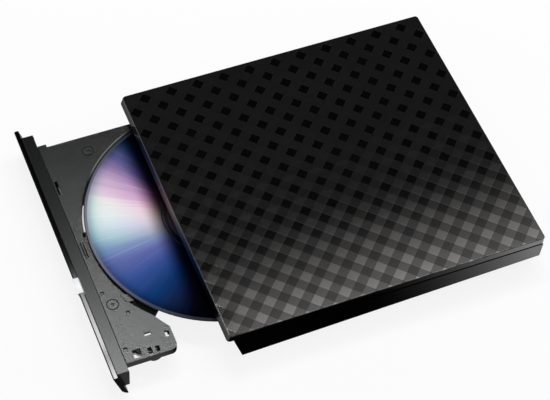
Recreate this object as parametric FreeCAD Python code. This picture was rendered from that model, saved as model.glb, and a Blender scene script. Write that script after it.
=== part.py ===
# External DVD drive: a flat glossy housing around a slim tray drive, drawn with its tray part open.
# Millimetres. +X to the right seen from the front, +Y to the rear, +Z up.
# Everything is drawn around the housing's middle with the tray shut. The moving parts are then slid out,
# and all of it is moved so that the origin is on the resting plane under the middle of the whole length.
import FreeCAD
import Part
import math
import os
from FreeCAD import Vector

# Housing
FOOT_PROUD = 1.0
WALL = 1.6
HOUSING_WALL = 2.1
COVER_THICKNESS = 1.8
SKIRT_DROP = 3.6
PROW = 1.1
CORNER_RADIUS = 1.6
SHADOW_GAP = 1.7
SIDE_INSET = 0.35
REAR_INSET = 0.2
SIDE_LEAN = 0.6
REAR_LEAN = 0.4
KEEL_RISE = 5.0
KEEL_SLOPE = 1.1
KEEL_WALL = 1.1
FRONT_RAKE = 0.31
LID_GAP = 0.15
BOSS_RADIUS = 3.2
SCREW_RADIUS = 1.0
SCREW_HEAD_RADIUS = 2.1
SCREW_HEAD_HEIGHT = 0.9
HOLE_CLEARANCE = 0.05
ROOM_BESIDE_DRIVE = 1.85
ROOM_ABOVE_LID = 2.2
ROOM_UNDER_PAN = 1.6
FOOT_SIZE = (14.0, 6.0)
FOOT_SINK = 0.6
FOOT_FROM_SIDE = 16.25
FRONT_FOOT_BACK = 19.5
REAR_FOOT_BEHIND_PAN = 5.7

# Tray drive inside the housing
TRAY_CENTRE_X = 1.75
TRAY_EDGE_WIDTH = 1.25
TRAY_THICKNESS = 3.8
TRAY_ABOVE_PAN = 9.2
TRAY_OUT = 53.0
TRAY_CORNER = 3.0
RECESS_GAP = 0.8
RECESS_CHAMFER = 0.5
RECESS_DEPTH = 2.8
RECESS_BEHIND_FRONT = 4.7
RECESS_PAST_REAR = 0.6
WIDE_GAP = 2.1
WIDE_START = 262.5
WIDE_END = 318.0
SHEET = 0.6
PAN_HEIGHT = 12.2
PRESSING_RADIUS = 34.0
PRESSING_WIDTH = 4.0
PAN_GAP_FRONT = 0.7
PAN_GAP_REAR = 1.1
RUNNING_GAP = 0.2
RAIL_SHEET = 0.5
RAIL_LENGTH = 96.0
RAIL_START = 27.0
RIB_HEIGHT = 1.2

# Bezel
BEZEL_PLATE_TOP = 17.0
BEZEL_PLATE_BOTTOM = 1.8
BEZEL_PLATE_THICKNESS = 2.2
PLATE_CHAMFER = 0.6
PLATE_ABOVE_BODY = 2.3
BEZEL_SET_BACK = 0.5
BEZEL_SIDE_GAP = 0.5
BEZEL_BODY_BOTTOM = 3.4
BEZEL_DEPTH = 9.0
BEZEL_WALL = 1.2
BEZEL_SEAM = 0.3
BEZEL_SCREW_BACK = 2.6
BUTTON_WIDTH = 8.2
BUTTON_X = 20.6
BUTTON_BOTTOM = 11.6
BUTTON_PROUD = 0.5
BUTTON_ABOVE_PLATE = 0.1
BUTTON_GAP = 0.15
BUTTON_STROKE = 0.6
BUTTON_OVERHANG = 0.2
BUTTON_ABOVE_BODY = 0.2

# Disc and spindle
DISC_RADIUS = 60.0
DISC_HOLE_RADIUS = 7.5
DISC_THICKNESS = 1.2
DISC_LOW = 11.6
TURNTABLE_RADIUS = 14.6
ROTOR_RADIUS = 12.0
SHAFT_RADIUS = 1.0

# Laser unit: its frame lies across the tray at an angle, and its own axes start at the hub
UNIT_ANGLE = 135.0
UNIT_LOW = 6.2
UNIT_HIGH = 9.0
ROD_RADIUS = 0.9
ROD_OFFSET = 13.0
ROD_HEIGHT = 7.6
LEAD_SCREW_OFFSET = -18.5
LEAD_SCREW_RADIUS = 1.2
WINDOW_START = 14.0
WINDOW_END = 62.0
LENS_AT = 34.0
LENS_RADIUS = 2.0
DAMPER_PLACES = [(-58.6, 15.5), (-10.0, -28.5), (44.0, 22.5)]
DAMPER_RADIUS = 3.4

# Boards
BOARD_THICKNESS = 0.8
BOARD_GAP = 0.2
BOARD_WIDTH = 20.5
BOARD_FROM_TRAY_EDGE = 8.3
PLUG_WIDTH = 14.0
PLUG_DEPTH = 4.6
PLUG_GAP = 0.5
BRIDGE_LENGTH = 70.0
BRIDGE_DEPTH = 10.6
BRIDGE_THICKNESS = 1.2
BRIDGE_LOW = 7.0
ROOM_BEHIND_BRIDGE = 1.2
SOCKET_FROM_BRIDGE_END = 30.0

# Worked out from the sizes above. The rail's channel is built up from the rib on the tray's edge.
RECESS_RADIUS = DISC_RADIUS + RECESS_GAP
TRAY_WIDTH = 2 * (RECESS_RADIUS + TRAY_EDGE_WIDTH)
HUB_BEHIND_FRONT = RECESS_RADIUS + RECESS_BEHIND_FRONT
TRAY_LENGTH = HUB_BEHIND_FRONT + RECESS_RADIUS - RECESS_PAST_REAR
BASE = FOOT_PROUD
FLOOR = BASE + WALL
PAN_LOW = FLOOR + ROOM_UNDER_PAN
PAN_FLOOR = PAN_LOW + SHEET
PAN_HIGH = PAN_LOW + PAN_HEIGHT
COVER_LOW = PAN_HIGH + SHEET + ROOM_ABOVE_LID
TOP = COVER_LOW + COVER_THICKNESS
SKIRT_LOW = TOP - SKIRT_DROP
SHOULDER = SKIRT_LOW - SHADOW_GAP
TRAY_TOP = PAN_LOW + TRAY_ABOVE_PAN
TRAY_LOW = TRAY_TOP - TRAY_THICKNESS
RECESS_FLOOR = TRAY_TOP - RECESS_DEPTH
RIB_LOW = TRAY_LOW - 0.7
RIB_HIGH = RIB_LOW + RIB_HEIGHT
RIB_OUT = 0.4
STEP_IN = 1.3
STEP_TOP = RIB_HIGH + 0.9
RAIL_WEB = RIB_OUT + 0.3
RAIL_OUT = RAIL_WEB + RAIL_SHEET
RAIL_LOW = RIB_LOW - RUNNING_GAP - RAIL_SHEET
RAIL_HIGH = RIB_HIGH + RUNNING_GAP + RAIL_SHEET
GUIDE_IN = RAIL_OUT + 0.1
GUIDE_OUT = GUIDE_IN + 0.65
PAN_HALF = TRAY_WIDTH / 2 + GUIDE_OUT
SIDE_IN = TRAY_CENTRE_X + PAN_HALF + 2 * SHEET + ROOM_BESIDE_DRIVE
SIDE_OUT = SIDE_IN + HOUSING_WALL
HALF_WIDTH = SIDE_OUT + SIDE_INSET
NECK_OUT = HALF_WIDTH - WALL - LID_GAP
DRIVE_DEPTH = BEZEL_DEPTH + TRAY_LENGTH + PAN_GAP_REAR
REAR_DEPTH = PLUG_GAP + PLUG_DEPTH + BRIDGE_DEPTH + ROOM_BEHIND_BRIDGE + HOUSING_WALL + REAR_INSET
DEPTH = DRIVE_DEPTH + REAR_DEPTH
FRONT = -DEPTH / 2
REAR = DEPTH / 2
REAR_OUT = REAR - REAR_INSET
BEZEL_BACK = FRONT + BEZEL_DEPTH
TRAY_FRONT = BEZEL_BACK
BEZEL_BODY_TOP = BEZEL_PLATE_TOP - PLATE_ABOVE_BODY
TRAY_REAR = TRAY_FRONT + TRAY_LENGTH
TRAY_LEFT = TRAY_CENTRE_X - TRAY_WIDTH / 2
TRAY_RIGHT = TRAY_CENTRE_X + TRAY_WIDTH / 2
HUB = Vector(0, TRAY_FRONT + HUB_BEHIND_FRONT, 0)
PAN_FRONT = TRAY_FRONT + PAN_GAP_FRONT
PAN_REAR = TRAY_REAR + PAN_GAP_REAR
DISC_HIGH = DISC_LOW + DISC_THICKNESS
TURNTABLE_LOW = RECESS_FLOOR - 0.2
BOARD_LOW = PAN_FLOOR + BOARD_GAP
BOARD_HIGH = BOARD_LOW + BOARD_THICKNESS
BOARD_RIGHT = TRAY_RIGHT - BOARD_FROM_TRAY_EDGE
BOARD_LEFT = BOARD_RIGHT - BOARD_WIDTH
BOARD_FRONT = PAN_FRONT + 10.0
BOARD_REAR = PAN_REAR - 4.0
CONNECTOR_LEFT = BOARD_LEFT + 1.0
CONNECTOR_RIGHT = CONNECTOR_LEFT + PLUG_WIDTH
CONNECTOR_FRONT = PAN_REAR + PLUG_GAP
CONNECTOR_BACK = CONNECTOR_FRONT + PLUG_DEPTH
BRIDGE_HIGH = BRIDGE_LOW + BRIDGE_THICKNESS
BRIDGE_BACK = CONNECTOR_BACK + BRIDGE_DEPTH
BRIDGE_RIGHT = CONNECTOR_RIGHT
BRIDGE_LEFT = BRIDGE_RIGHT - BRIDGE_LENGTH
SOCKET_X = BRIDGE_RIGHT - SOCKET_FROM_BRIDGE_END
SOCKET_BACK = REAR_OUT - 0.9
FOOT_X = HALF_WIDTH - FOOT_FROM_SIDE
FRONT_FOOT_Y = FRONT + FRONT_FOOT_BACK
REAR_FOOT_Y = PAN_REAR + REAR_FOOT_BEHIND_PAN
REACH = 400.0


# Helpers

def box(low, high):
    """Block between two opposite corners."""
    size = [b - a for a, b in zip(low, high)]
    return Part.makeBox(size[0], size[1], size[2], Vector(*low))


def post(x, y, low, high, radius):
    """Upright cylinder."""
    return Part.makeCylinder(radius, high - low, Vector(x, y, low))


def ring(x, y, low, high, outer, inner):
    """Upright tube."""
    return post(x, y, low, high, outer).cut(post(x, y, low, high, inner))


def rod(start, end, radius):
    """Round bar between two points."""
    along = end.sub(start)
    return Part.makeCylinder(radius, along.Length, start, along)


def slab(points, low, high):
    """Flat plate with the given outline, seen from above."""
    corners = [Vector(x, y, low) for x, y in points]
    face = Part.Face(Part.makePolygon(corners + corners[:1]))
    return face.extrude(Vector(0, 0, high - low))


def section(points, left, right):
    """Bar along X with the given (y, z) section."""
    corners = [Vector(left, y, z) for y, z in points]
    face = Part.Face(Part.makePolygon(corners + corners[:1]))
    return face.extrude(Vector(right - left, 0, 0))


def join(shapes):
    """One solid from touching or overlapping ones."""
    return shapes[0].fuse(shapes[1:]).removeSplitter()


def carve(shape, tools):
    """Shape without the tools' volume."""
    return shape.cut(tools).removeSplitter()


def trim(shape, point, normal):
    """Cut off what lies beyond a plane, on the side that its normal points to."""
    block = Part.makeBox(REACH, REACH, REACH, Vector(-REACH / 2, -REACH / 2, 0))
    block.Placement = FreeCAD.Placement(point, FreeCAD.Rotation(Vector(0, 0, 1), normal))
    return shape.cut(block)


def round_edges(shape, radius, wanted):
    """Fillet the edges that the test picks."""
    edges = [edge for edge in shape.Edges if wanted(edge)]
    return shape.makeFillet(radius, edges)


def is_upright(edge):
    """True for a straight edge that rises more than it runs."""
    ends = [vertex.Point for vertex in edge.Vertexes]
    if len(ends) < 2:
        return False
    along = ends[1].sub(ends[0])
    return abs(along.z) > 0.9 * along.Length


def mirrored(shape):
    """The same shape on the other side of the tray's middle plane."""
    return shape.mirror(Vector(TRAY_CENTRE_X, 0, 0), Vector(1, 0, 0))


def slid_out(shape, distance):
    """The shape moved forwards, as the tray carries it."""
    moved = shape.copy()
    moved.translate(Vector(0, -distance, 0))
    return moved


def on_unit(shape):
    """Turn a shape from the laser unit's own axes to its place at the hub."""
    placed = shape.copy()
    placed.rotate(Vector(0, 0, 0), Vector(0, 0, 1), UNIT_ANGLE)
    placed.translate(HUB)
    return placed


def unit_point(along, across, height=0.0):
    """A point of the laser unit's own axes, in the drive's axes."""
    turn = math.radians(UNIT_ANGLE)
    x = along * math.cos(turn) - across * math.sin(turn)
    y = along * math.sin(turn) + across * math.cos(turn)
    return Vector(HUB.x + x, HUB.y + y, height)


def screws(places, seat, depth, radius, up=True, head_radius=SCREW_HEAD_RADIUS):
    """Round-headed screws whose heads sit on a seat, one solid each."""
    made = []
    for x, y in places:
        if up:
            shank = post(x, y, seat - depth, seat, radius)
            head = post(x, y, seat, seat + SCREW_HEAD_HEIGHT, head_radius)
        else:
            shank = post(x, y, seat, seat + depth, radius)
            head = post(x, y, seat - SCREW_HEAD_HEIGHT, seat, head_radius)
        made.append(join([head, shank]))
    return Part.makeCompound(made)


# Housing shells

def front_plane(height):
    """How far forward the lower housing's raked front reaches at a height."""
    plate_back = FRONT + BEZEL_SET_BACK + BEZEL_PLATE_THICKNESS
    return plate_back + 2 * LID_GAP + FRONT_RAKE * (BEZEL_PLATE_TOP - height)


def keel_planes(wall, keel_wall):
    """Planes that shape the lower housing: point, outward normal and how far each is moved inwards."""
    drop = SHOULDER - BASE
    planes = []
    for side in (-1, 1):
        planes.append((Vector(side * SIDE_OUT, 0, SHOULDER), Vector(side * drop, 0, -SIDE_LEAN), wall))
        front_low = Vector(side * (SIDE_OUT - SIDE_LEAN), front_plane(BASE), BASE)
        rear_low = Vector(front_low.x, REAR_OUT, BASE + KEEL_RISE)
        inwards = Vector(-side, 0, -KEEL_SLOPE)
        normal = rear_low.sub(front_low).cross(inwards)
        if normal.x * side < 0:
            normal = normal.negative()
        planes.append((front_low, normal, keel_wall))
    planes.append((Vector(0, REAR_OUT, SHOULDER), Vector(0, drop, -REAR_LEAN), wall))
    planes.append((Vector(0, REAR_OUT - REAR_LEAN, BASE + KEEL_RISE), Vector(0, KEEL_SLOPE, -1), keel_wall))
    return planes


def keel_body(wall, keel_wall, front, low, high):
    """The lower housing's outer form, or with wall thicknesses its hollow."""
    body = box((-HALF_WIDTH, front, low), (HALF_WIDTH, REAR, high))
    for point, normal, inset in keel_planes(wall, keel_wall):
        outward = Vector(normal).normalize()
        body = trim(body, point.sub(outward * inset), normal)
    return body


def foot_places():
    """Centres of the four feet."""
    return [(x, y) for x in (-FOOT_X, FOOT_X) for y in (FRONT_FOOT_Y, REAR_FOOT_Y)]


def housing_screw_places():
    return [(x, REAR_FOOT_Y) for x in (-FOOT_X, FOOT_X)]


def drive_screw_places():
    """Screws that hold the pan, one near each corner."""
    left = TRAY_LEFT + 2.7
    right = TRAY_RIGHT - 5.2
    return [(x, y) for x in (left, right) for y in (PAN_FRONT + 8.3, PAN_REAR - 8.3)]


def bridge_screw_places():
    return [(x, BRIDGE_BACK - 2.5) for x in (BRIDGE_LEFT + 2.5, BRIDGE_RIGHT - 2.5)]


def snap_tab_rows():
    """Middles of the snap tabs along each side."""
    return [FRONT + 32.5, 0.0, REAR - 32.5]


TAB_LENGTH = 8.0
TAB_THICKNESS = 1.2
TAB_LOW = 12.6
TAB_NUB = 0.5


def snap_nub(side, row, grow):
    """Catch on a snap tab, or with grow the window that it clicks into."""
    inner = SIDE_IN - 0.2
    outer = SIDE_IN + TAB_NUB + grow
    low = TAB_LOW + 0.3 - grow
    high = TAB_LOW + 1.6 + grow
    reach = TAB_LENGTH / 2 - 1 + grow
    corners = sorted((side * inner, side * outer))
    return box((corners[0], row - reach, low), (corners[1], row + reach, high))


def top_cover():
    """Glossy lid: a flat plate with a low skirt and a lip that leans out at the front."""
    side_view = [(FRONT + PROW, TOP), (REAR, TOP), (REAR, SKIRT_LOW), (FRONT, SKIRT_LOW)]
    shell = section(side_view, -HALF_WIDTH, HALF_WIDTH)
    shell = round_edges(shell, CORNER_RADIUS, is_upright)
    top_edge = [edge for edge in shell.Edges if all(abs(v.Z - TOP) < 0.01 for v in edge.Vertexes)]
    shell = shell.makeFillet(0.4, top_edge)
    hollow = box((WALL - HALF_WIDTH, FRONT + 2.0, SKIRT_LOW - 1), (HALF_WIDTH - WALL, REAR - WALL, COVER_LOW))
    shell = shell.cut(hollow)
    added = []
    boss_low = HOUSING_BOSS_TOP + 0.1
    for x, y in housing_screw_places():
        added.append(post(x, y, boss_low, COVER_LOW, BOSS_RADIUS))
    for side in (-1, 1):
        corners = sorted((side * (SIDE_IN - 0.2), side * (SIDE_IN - 0.2 - TAB_THICKNESS)))
        for row in snap_tab_rows():
            reach = TAB_LENGTH / 2
            added.append(box((corners[0], row - reach, TAB_LOW), (corners[1], row + reach, COVER_LOW)))
            added.append(snap_nub(side, row, 0.0))
    cover = join([shell] + added)
    holes = [post(x, y, boss_low - 1, boss_low + 6, SCREW_RADIUS + HOLE_CLEARANCE)
             for x, y in housing_screw_places()]
    return carve(cover, holes)


HOUSING_BOSS_TOP = 9.4
HEAD_SEAT = BASE + FOOT_SINK + 0.1 + SCREW_HEAD_HEIGHT
SOCKET_WIDTH = 7.6
SOCKET_HEIGHT = 3.9
SOCKET_LENGTH = 9.2
SOCKET_SHEET = 0.35


def lower_housing():
    """Tub with leaning walls, a keel that rises to the rear, and an open raked front."""
    far_forward = FRONT - 20
    outer = keel_body(0.0, 0.0, far_forward, BASE, SHOULDER)
    neck_high = COVER_LOW - 0.1
    neck_rear = REAR - WALL - LID_GAP
    neck = box((-NECK_OUT, far_forward, SHOULDER), (NECK_OUT, neck_rear, neck_high))
    outer = join([outer, neck])
    raked = Vector(0, -1, -FRONT_RAKE)
    outer = trim(outer, Vector(0, front_plane(BASE), BASE), raked)
    hollow = keel_body(HOUSING_WALL, KEEL_WALL, far_forward - 1, FLOOR, SHOULDER)
    upper = box((-SIDE_IN, far_forward - 1, SHOULDER - 1), (SIDE_IN, REAR_OUT - HOUSING_WALL, neck_high + 1))
    tub = outer.cut([hollow, upper])
    bosses = [post(x, y, BASE + FOOT_SINK, HOUSING_BOSS_TOP, BOSS_RADIUS) for x, y in housing_screw_places()]
    bosses += [post(x, y, BASE + 0.5, PAN_LOW, BOSS_RADIUS) for x, y in drive_screw_places()]
    bosses += [post(x, y, BASE + 0.5, BRIDGE_LOW, 2.0) for x, y in bridge_screw_places()]
    for x in (-30.0, 5.0, 40.0):
        bosses.append(box((x - 0.6, PAN_FRONT + 6, BASE + 0.5), (x + 0.6, PAN_REAR - 10, PAN_LOW)))
    tub = join([tub] + bosses).common(outer)
    cuts = []
    half_x, half_y = (size / 2 + HOLE_CLEARANCE for size in FOOT_SIZE)
    for x, y in foot_places():
        cuts.append(box((x - half_x, y - half_y, BASE - 1), (x + half_x, y + half_y, BASE + FOOT_SINK)))
    for x, y in housing_screw_places():
        cuts.append(post(x, y, BASE, HEAD_SEAT, SCREW_HEAD_RADIUS + 0.2))
        cuts.append(post(x, y, BASE, HOUSING_BOSS_TOP + 1, SCREW_RADIUS + HOLE_CLEARANCE))
    for x, y in drive_screw_places():
        cuts.append(post(x, y, BASE + 0.8, PAN_LOW + 1, SCREW_RADIUS + HOLE_CLEARANCE))
    for x, y in bridge_screw_places():
        cuts.append(post(x, y, BASE + 0.8, BRIDGE_LOW + 1, SCREW_RADIUS + HOLE_CLEARANCE))
    for side in (-1, 1):
        cuts += [snap_nub(side, row, 0.15) for row in snap_tab_rows()]
    cuts.append(box((SOCKET_X - SOCKET_WIDTH / 2 - 0.5, REAR_OUT - 5, BRIDGE_HIGH - 0.3),
                    (SOCKET_X + SOCKET_WIDTH / 2 + 0.5, REAR + 1, BRIDGE_HIGH + SOCKET_HEIGHT + 0.5)))
    return carve(tub, cuts)


def rubber_feet():
    """Four rounded rubber pads, sunk in the underside."""
    pads = []
    for x, y in foot_places():
        half_x, half_y = (size / 2 for size in FOOT_SIZE)
        pad = box((x - half_x, y - half_y, 0), (x + half_x, y + half_y, BASE + FOOT_SINK))
        pads.append(round_edges(pad, 2.0, is_upright))
    return Part.makeCompound(pads)


def housing_screws():
    return screws(housing_screw_places(), HEAD_SEAT, 11.5, SCREW_RADIUS, up=False)


# Drive pan, lid and guides

def drive_pan():
    """Folded sheet tray that carries the mechanism, open at the front."""
    left = TRAY_CENTRE_X - PAN_HALF - SHEET
    right = TRAY_CENTRE_X + PAN_HALF + SHEET
    pan = box((left, PAN_FRONT, PAN_LOW), (right, PAN_REAR + SHEET, PAN_HIGH))
    hollow = box((left + SHEET, PAN_FRONT - 1, PAN_FLOOR), (right - SHEET, PAN_REAR, PAN_HIGH + 1))
    pan = pan.cut(hollow)
    flanges = []
    for x_low, x_high in ((left, left + 6), (right - 6, right)):
        for y_low, y_high in ((PAN_FRONT, PAN_FRONT + 6), (PAN_REAR - 5.4, PAN_REAR + SHEET)):
            flanges.append(box((x_low, y_low, PAN_HIGH - SHEET), (x_high, y_high, PAN_HIGH)))
    pan = join([pan] + flanges)
    cuts = [post(x, y, PAN_LOW - 1, PAN_FLOOR + 1, SCREW_RADIUS + HOLE_CLEARANCE)
            for x, y in drive_screw_places()]
    cuts += [post(x, y, PAN_HIGH - 2, PAN_HIGH + 1, SCREW_RADIUS + HOLE_CLEARANCE)
             for x, y in lid_screw_places()]
    cuts.append(box((CONNECTOR_LEFT - 0.3, PAN_REAR - 1, BOARD_HIGH - 0.3),
                    (CONNECTOR_RIGHT + 0.3, PAN_REAR + 2, BOARD_HIGH + 3.6)))
    return carve(pan, cuts)


def lid_screw_places():
    left = TRAY_CENTRE_X - PAN_HALF + 2.6
    right = TRAY_CENTRE_X + PAN_HALF - 2.6
    return [(x, y) for x in (left, right) for y in (PAN_FRONT + 3, PAN_REAR - 2.6)]


def drive_lid():
    """Sheet lid over the pan, with shallow folded sides and a pressed centre."""
    left = TRAY_CENTRE_X - PAN_HALF - SHEET
    right = TRAY_CENTRE_X + PAN_HALF + SHEET
    top = PAN_HIGH + SHEET
    plate = box((left - SHEET, PAN_FRONT, PAN_HIGH), (right + SHEET, PAN_REAR + 2 * SHEET, top))
    folds = []
    for x_low in (left - SHEET, right):
        folds.append(box((x_low, PAN_FRONT, PAN_HIGH - 2), (x_low + SHEET, PAN_REAR + 2 * SHEET, top)))
    rear_fold = box((left - SHEET, PAN_REAR + SHEET, PAN_HIGH - 2), (right + SHEET, PAN_REAR + 2 * SHEET, top))
    lid = join([plate, rear_fold] + folds)
    pressing = ring(HUB.x, HUB.y, top, top + 0.5, PRESSING_RADIUS, PRESSING_RADIUS - PRESSING_WIDTH)
    lid = join([lid, pressing])
    holes = [post(x, y, PAN_HIGH - 1, top + 1, SCREW_RADIUS + HOLE_CLEARANCE) for x, y in lid_screw_places()]
    return carve(lid, holes)


def lid_screws():
    return screws(lid_screw_places(), PAN_HIGH + SHEET, 2.0, SCREW_RADIUS, head_radius=1.9)


def drive_screws():
    return screws(drive_screw_places(), PAN_FLOOR, 2.8, SCREW_RADIUS, head_radius=1.8)


GUIDE_FRONT = PAN_FRONT + 4.5
GUIDE_REAR = PAN_REAR - 5.5
ROLLER_RADIUS = 2.8
ROLLER_WIDTH = 1.9
ROLLER_SIDE_GAP = 0.8
ROLLER_ROOM = 0.4
ROLLER_BEHIND_FRONT = 14.0
ROLLER_HEIGHT = TRAY_LOW


def left_guide_profile():
    """Channel that the left rail runs in: a tall lower ledge, a thin back and a short upper ledge."""
    wall = TRAY_LEFT - GUIDE_OUT
    lower = box((wall, GUIDE_FRONT, PAN_FLOOR), (TRAY_LEFT + 0.6, GUIDE_REAR, RAIL_LOW - RUNNING_GAP))
    back = box((wall, GUIDE_FRONT, PAN_FLOOR), (TRAY_LEFT - GUIDE_IN, GUIDE_REAR, RAIL_HIGH + 1))
    upper = box((wall, GUIDE_FRONT, RAIL_HIGH + RUNNING_GAP), (TRAY_LEFT - 0.3, GUIDE_REAR, RAIL_HIGH + 1))
    return [lower, back, upper]


def guide_left():
    return join(left_guide_profile())


def guide_right():
    """The same channel on the right, with a ledge for the tray's roller."""
    ledge_high = ROLLER_HEIGHT - ROLLER_RADIUS - 0.1
    ledge_low_x = TRAY_RIGHT - ROLLER_SIDE_GAP - ROLLER_WIDTH - 0.3
    ledge = box((ledge_low_x, GUIDE_FRONT, PAN_FLOOR), (TRAY_RIGHT, TRAY_FRONT + 28, ledge_high))
    return join([mirrored(part) for part in left_guide_profile()] + [ledge])


def rail_left():
    """Steel channel around the tray's rib, drawn with the tray shut."""
    front = TRAY_FRONT + RAIL_START
    rear = front + RAIL_LENGTH
    outer = box((TRAY_LEFT - RAIL_OUT, front, RAIL_LOW), (TRAY_LEFT + STEP_IN - 0.3, rear, RAIL_HIGH))
    inner = box((TRAY_LEFT - RAIL_WEB, front - 1, RAIL_LOW + RAIL_SHEET),
                (TRAY_LEFT + STEP_IN + 1, rear + 1, RAIL_HIGH - RAIL_SHEET))
    return outer.cut(inner)


def rail_right():
    return mirrored(rail_left())


LATCH_PIVOT = (TRAY_RIGHT - 7.3, TRAY_FRONT + 9.0)
LATCH_ARM = 15.6
LATCH_LOW = 6.8
LATCH_HIGH = 8.4
LATCH_SWING = 9.0
LATCH_POST_RADIUS = 1.0
LATCH_NOSE = 2.4


def latch_post():
    """Steel post on the pan that the latch's hook holds on to."""
    x = LATCH_PIVOT[0] - 2.9
    y = LATCH_PIVOT[1] + LATCH_ARM - 2.2
    stem = post(x, y, PAN_FLOOR, LATCH_HIGH + 0.4, LATCH_POST_RADIUS)
    foot = post(x, y, PAN_FLOOR, PAN_FLOOR + 0.6, 2.2)
    return join([stem, foot])


# Boards of the drive

CHIP_ZONE = TRAY_FRONT + 34.0


def main_board():
    """Long control board on the pan, under the tray's right side."""
    board = box((BOARD_LEFT, BOARD_FRONT, BOARD_LOW), (BOARD_RIGHT, BOARD_REAR, BOARD_HIGH))
    latch_x = LATCH_PIVOT[0] - 2.9
    latch_y = LATCH_PIVOT[1] + LATCH_ARM - 2.2
    pads = []
    for y in (BOARD_FRONT + 3, BOARD_REAR - 3):
        pads.append(post((BOARD_LEFT + BOARD_RIGHT) / 2, y, PAN_FLOOR, BOARD_LOW, 1.5))
    return carve(join([board] + pads), [post(latch_x, latch_y, PAN_FLOOR - 1, BOARD_HIGH + 1, 2.6)])


def board_chips():
    """Packages on the control board."""
    y = CHIP_ZONE
    sizes = [(12.0, 12.0, 1.4), (8.0, 10.0, 1.0), (10.0, 6.0, 1.2), (5.0, 4.0, 0.9)]
    chips = []
    for width, length, height in sizes:
        x = (BOARD_LEFT + BOARD_RIGHT) / 2 - width / 2
        chips.append(box((x, y, BOARD_HIGH), (x + width, y + length, BOARD_HIGH + height)))
        y += length + 5.0
    return Part.makeCompound(chips)


def plug_shell(front, back, high):
    """Body of a flat board connector."""
    return box((CONNECTOR_LEFT, front, BOARD_HIGH), (CONNECTOR_RIGHT, back, high))


def drive_connector():
    """Connector at the drive's rear edge, with the slot that takes its mate's tongue."""
    shell = plug_shell(BOARD_REAR - 7, CONNECTOR_FRONT, BOARD_HIGH + 3.2)
    slot = box((CONNECTOR_LEFT + 1, CONNECTOR_FRONT - 3, BOARD_HIGH + 1.1),
               (CONNECTOR_RIGHT - 1, CONNECTOR_FRONT + 1, BOARD_HIGH + 2.1))
    return shell.cut(slot)


def bridge_connector():
    """Mating connector on the bridge board, with a tongue in the drive's slot."""
    shell = plug_shell(CONNECTOR_FRONT, CONNECTOR_BACK, BOARD_HIGH + 3.2)
    tongue = box((CONNECTOR_LEFT + 1.2, CONNECTOR_FRONT - 2.6, BOARD_HIGH + 1.2),
                 (CONNECTOR_RIGHT - 1.2, CONNECTOR_FRONT, BOARD_HIGH + 2.0))
    return join([shell, tongue])


def bridge_board():
    """Board behind the drive that turns its signals into USB."""
    board = box((BRIDGE_LEFT, CONNECTOR_BACK, BRIDGE_LOW), (BRIDGE_RIGHT, BRIDGE_BACK, BRIDGE_HIGH))
    holes = [post(x, y, BRIDGE_LOW - 1, BRIDGE_HIGH + 1, SCREW_RADIUS + HOLE_CLEARANCE)
             for x, y in bridge_screw_places()]
    return carve(board, holes)


def bridge_chips():
    """Bridge chip, crystal can and two capacitors."""
    y = (CONNECTOR_BACK + BRIDGE_BACK) / 2
    pitch = (SOCKET_X - SOCKET_WIDTH / 2 - BRIDGE_LEFT) / 3
    middle = BRIDGE_LEFT + 1.5 * pitch
    chip = box((middle - 3.5, y - 3.5, BRIDGE_HIGH), (middle + 3.5, y + 3.5, BRIDGE_HIGH + 1.2))
    can_x = SOCKET_X + SOCKET_WIDTH / 2 + 8.2
    can = box((can_x - 2, y - 1.2, BRIDGE_HIGH), (can_x + 2, y + 1.2, BRIDGE_HIGH + 1.0))
    first = post(middle - pitch, y, BRIDGE_HIGH, BRIDGE_HIGH + 3.0, 1.6)
    second = post(middle + pitch, y, BRIDGE_HIGH, BRIDGE_HIGH + 3.0, 1.6)
    return Part.makeCompound([chip, can, first, second])


def bridge_screws():
    return screws(bridge_screw_places(), BRIDGE_HIGH, 6.0, SCREW_RADIUS, head_radius=1.9)


def usb_socket():
    """Small five-pin USB socket: a folded shell with a tongue inside."""
    left = SOCKET_X - SOCKET_WIDTH / 2
    right = SOCKET_X + SOCKET_WIDTH / 2
    front = SOCKET_BACK - SOCKET_LENGTH
    high = BRIDGE_HIGH + SOCKET_HEIGHT
    outer = section([(front, BRIDGE_HIGH), (SOCKET_BACK, BRIDGE_HIGH), (SOCKET_BACK, high), (front, high)],
                    left, right)
    inner = box((left + SOCKET_SHEET, front + SOCKET_SHEET, BRIDGE_HIGH + SOCKET_SHEET),
                (right - SOCKET_SHEET, SOCKET_BACK + 1, high - SOCKET_SHEET))
    tongue = box((SOCKET_X - 2.4, front, BRIDGE_HIGH + 1.6), (SOCKET_X + 2.4, SOCKET_BACK - 1, BRIDGE_HIGH + 2.4))
    return join([outer.cut(inner), tongue])


CABLE_THICKNESS = 0.12
CABLE_LEFT = -38.0
CABLE_WIDTH = 12.0
CABLE_LOW = PAN_FLOOR + 0.02
CABLE_REACH = 121.0
CABLE_TRAY_END = TRAY_FRONT + 32.0
CABLE_LOOP_GAP = 0.14


def flex_cable():
    """Flat cable: across the pan from the board, back to a fold, and forward again under the tray."""
    start = PAN_FRONT + 8.0
    tray_end = CABLE_TRAY_END - TRAY_OUT
    fold = (CABLE_REACH + start + tray_end) / 2
    low = CABLE_LOW
    upper = low + CABLE_THICKNESS + CABLE_LOOP_GAP
    right = CABLE_LEFT + CABLE_WIDTH
    crossing = box((CABLE_LEFT, start, low), (BOARD_LEFT - 0.2, start + CABLE_WIDTH, low + CABLE_THICKNESS))
    lower_run = box((CABLE_LEFT, start, low), (right, fold, low + CABLE_THICKNESS))
    bend = box((CABLE_LEFT, fold - CABLE_THICKNESS, low), (right, fold, upper + CABLE_THICKNESS))
    upper_run = box((CABLE_LEFT, tray_end, upper), (right, fold, upper + CABLE_THICKNESS))
    return join([crossing, lower_run, bend, upper_run])


# Tray

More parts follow.
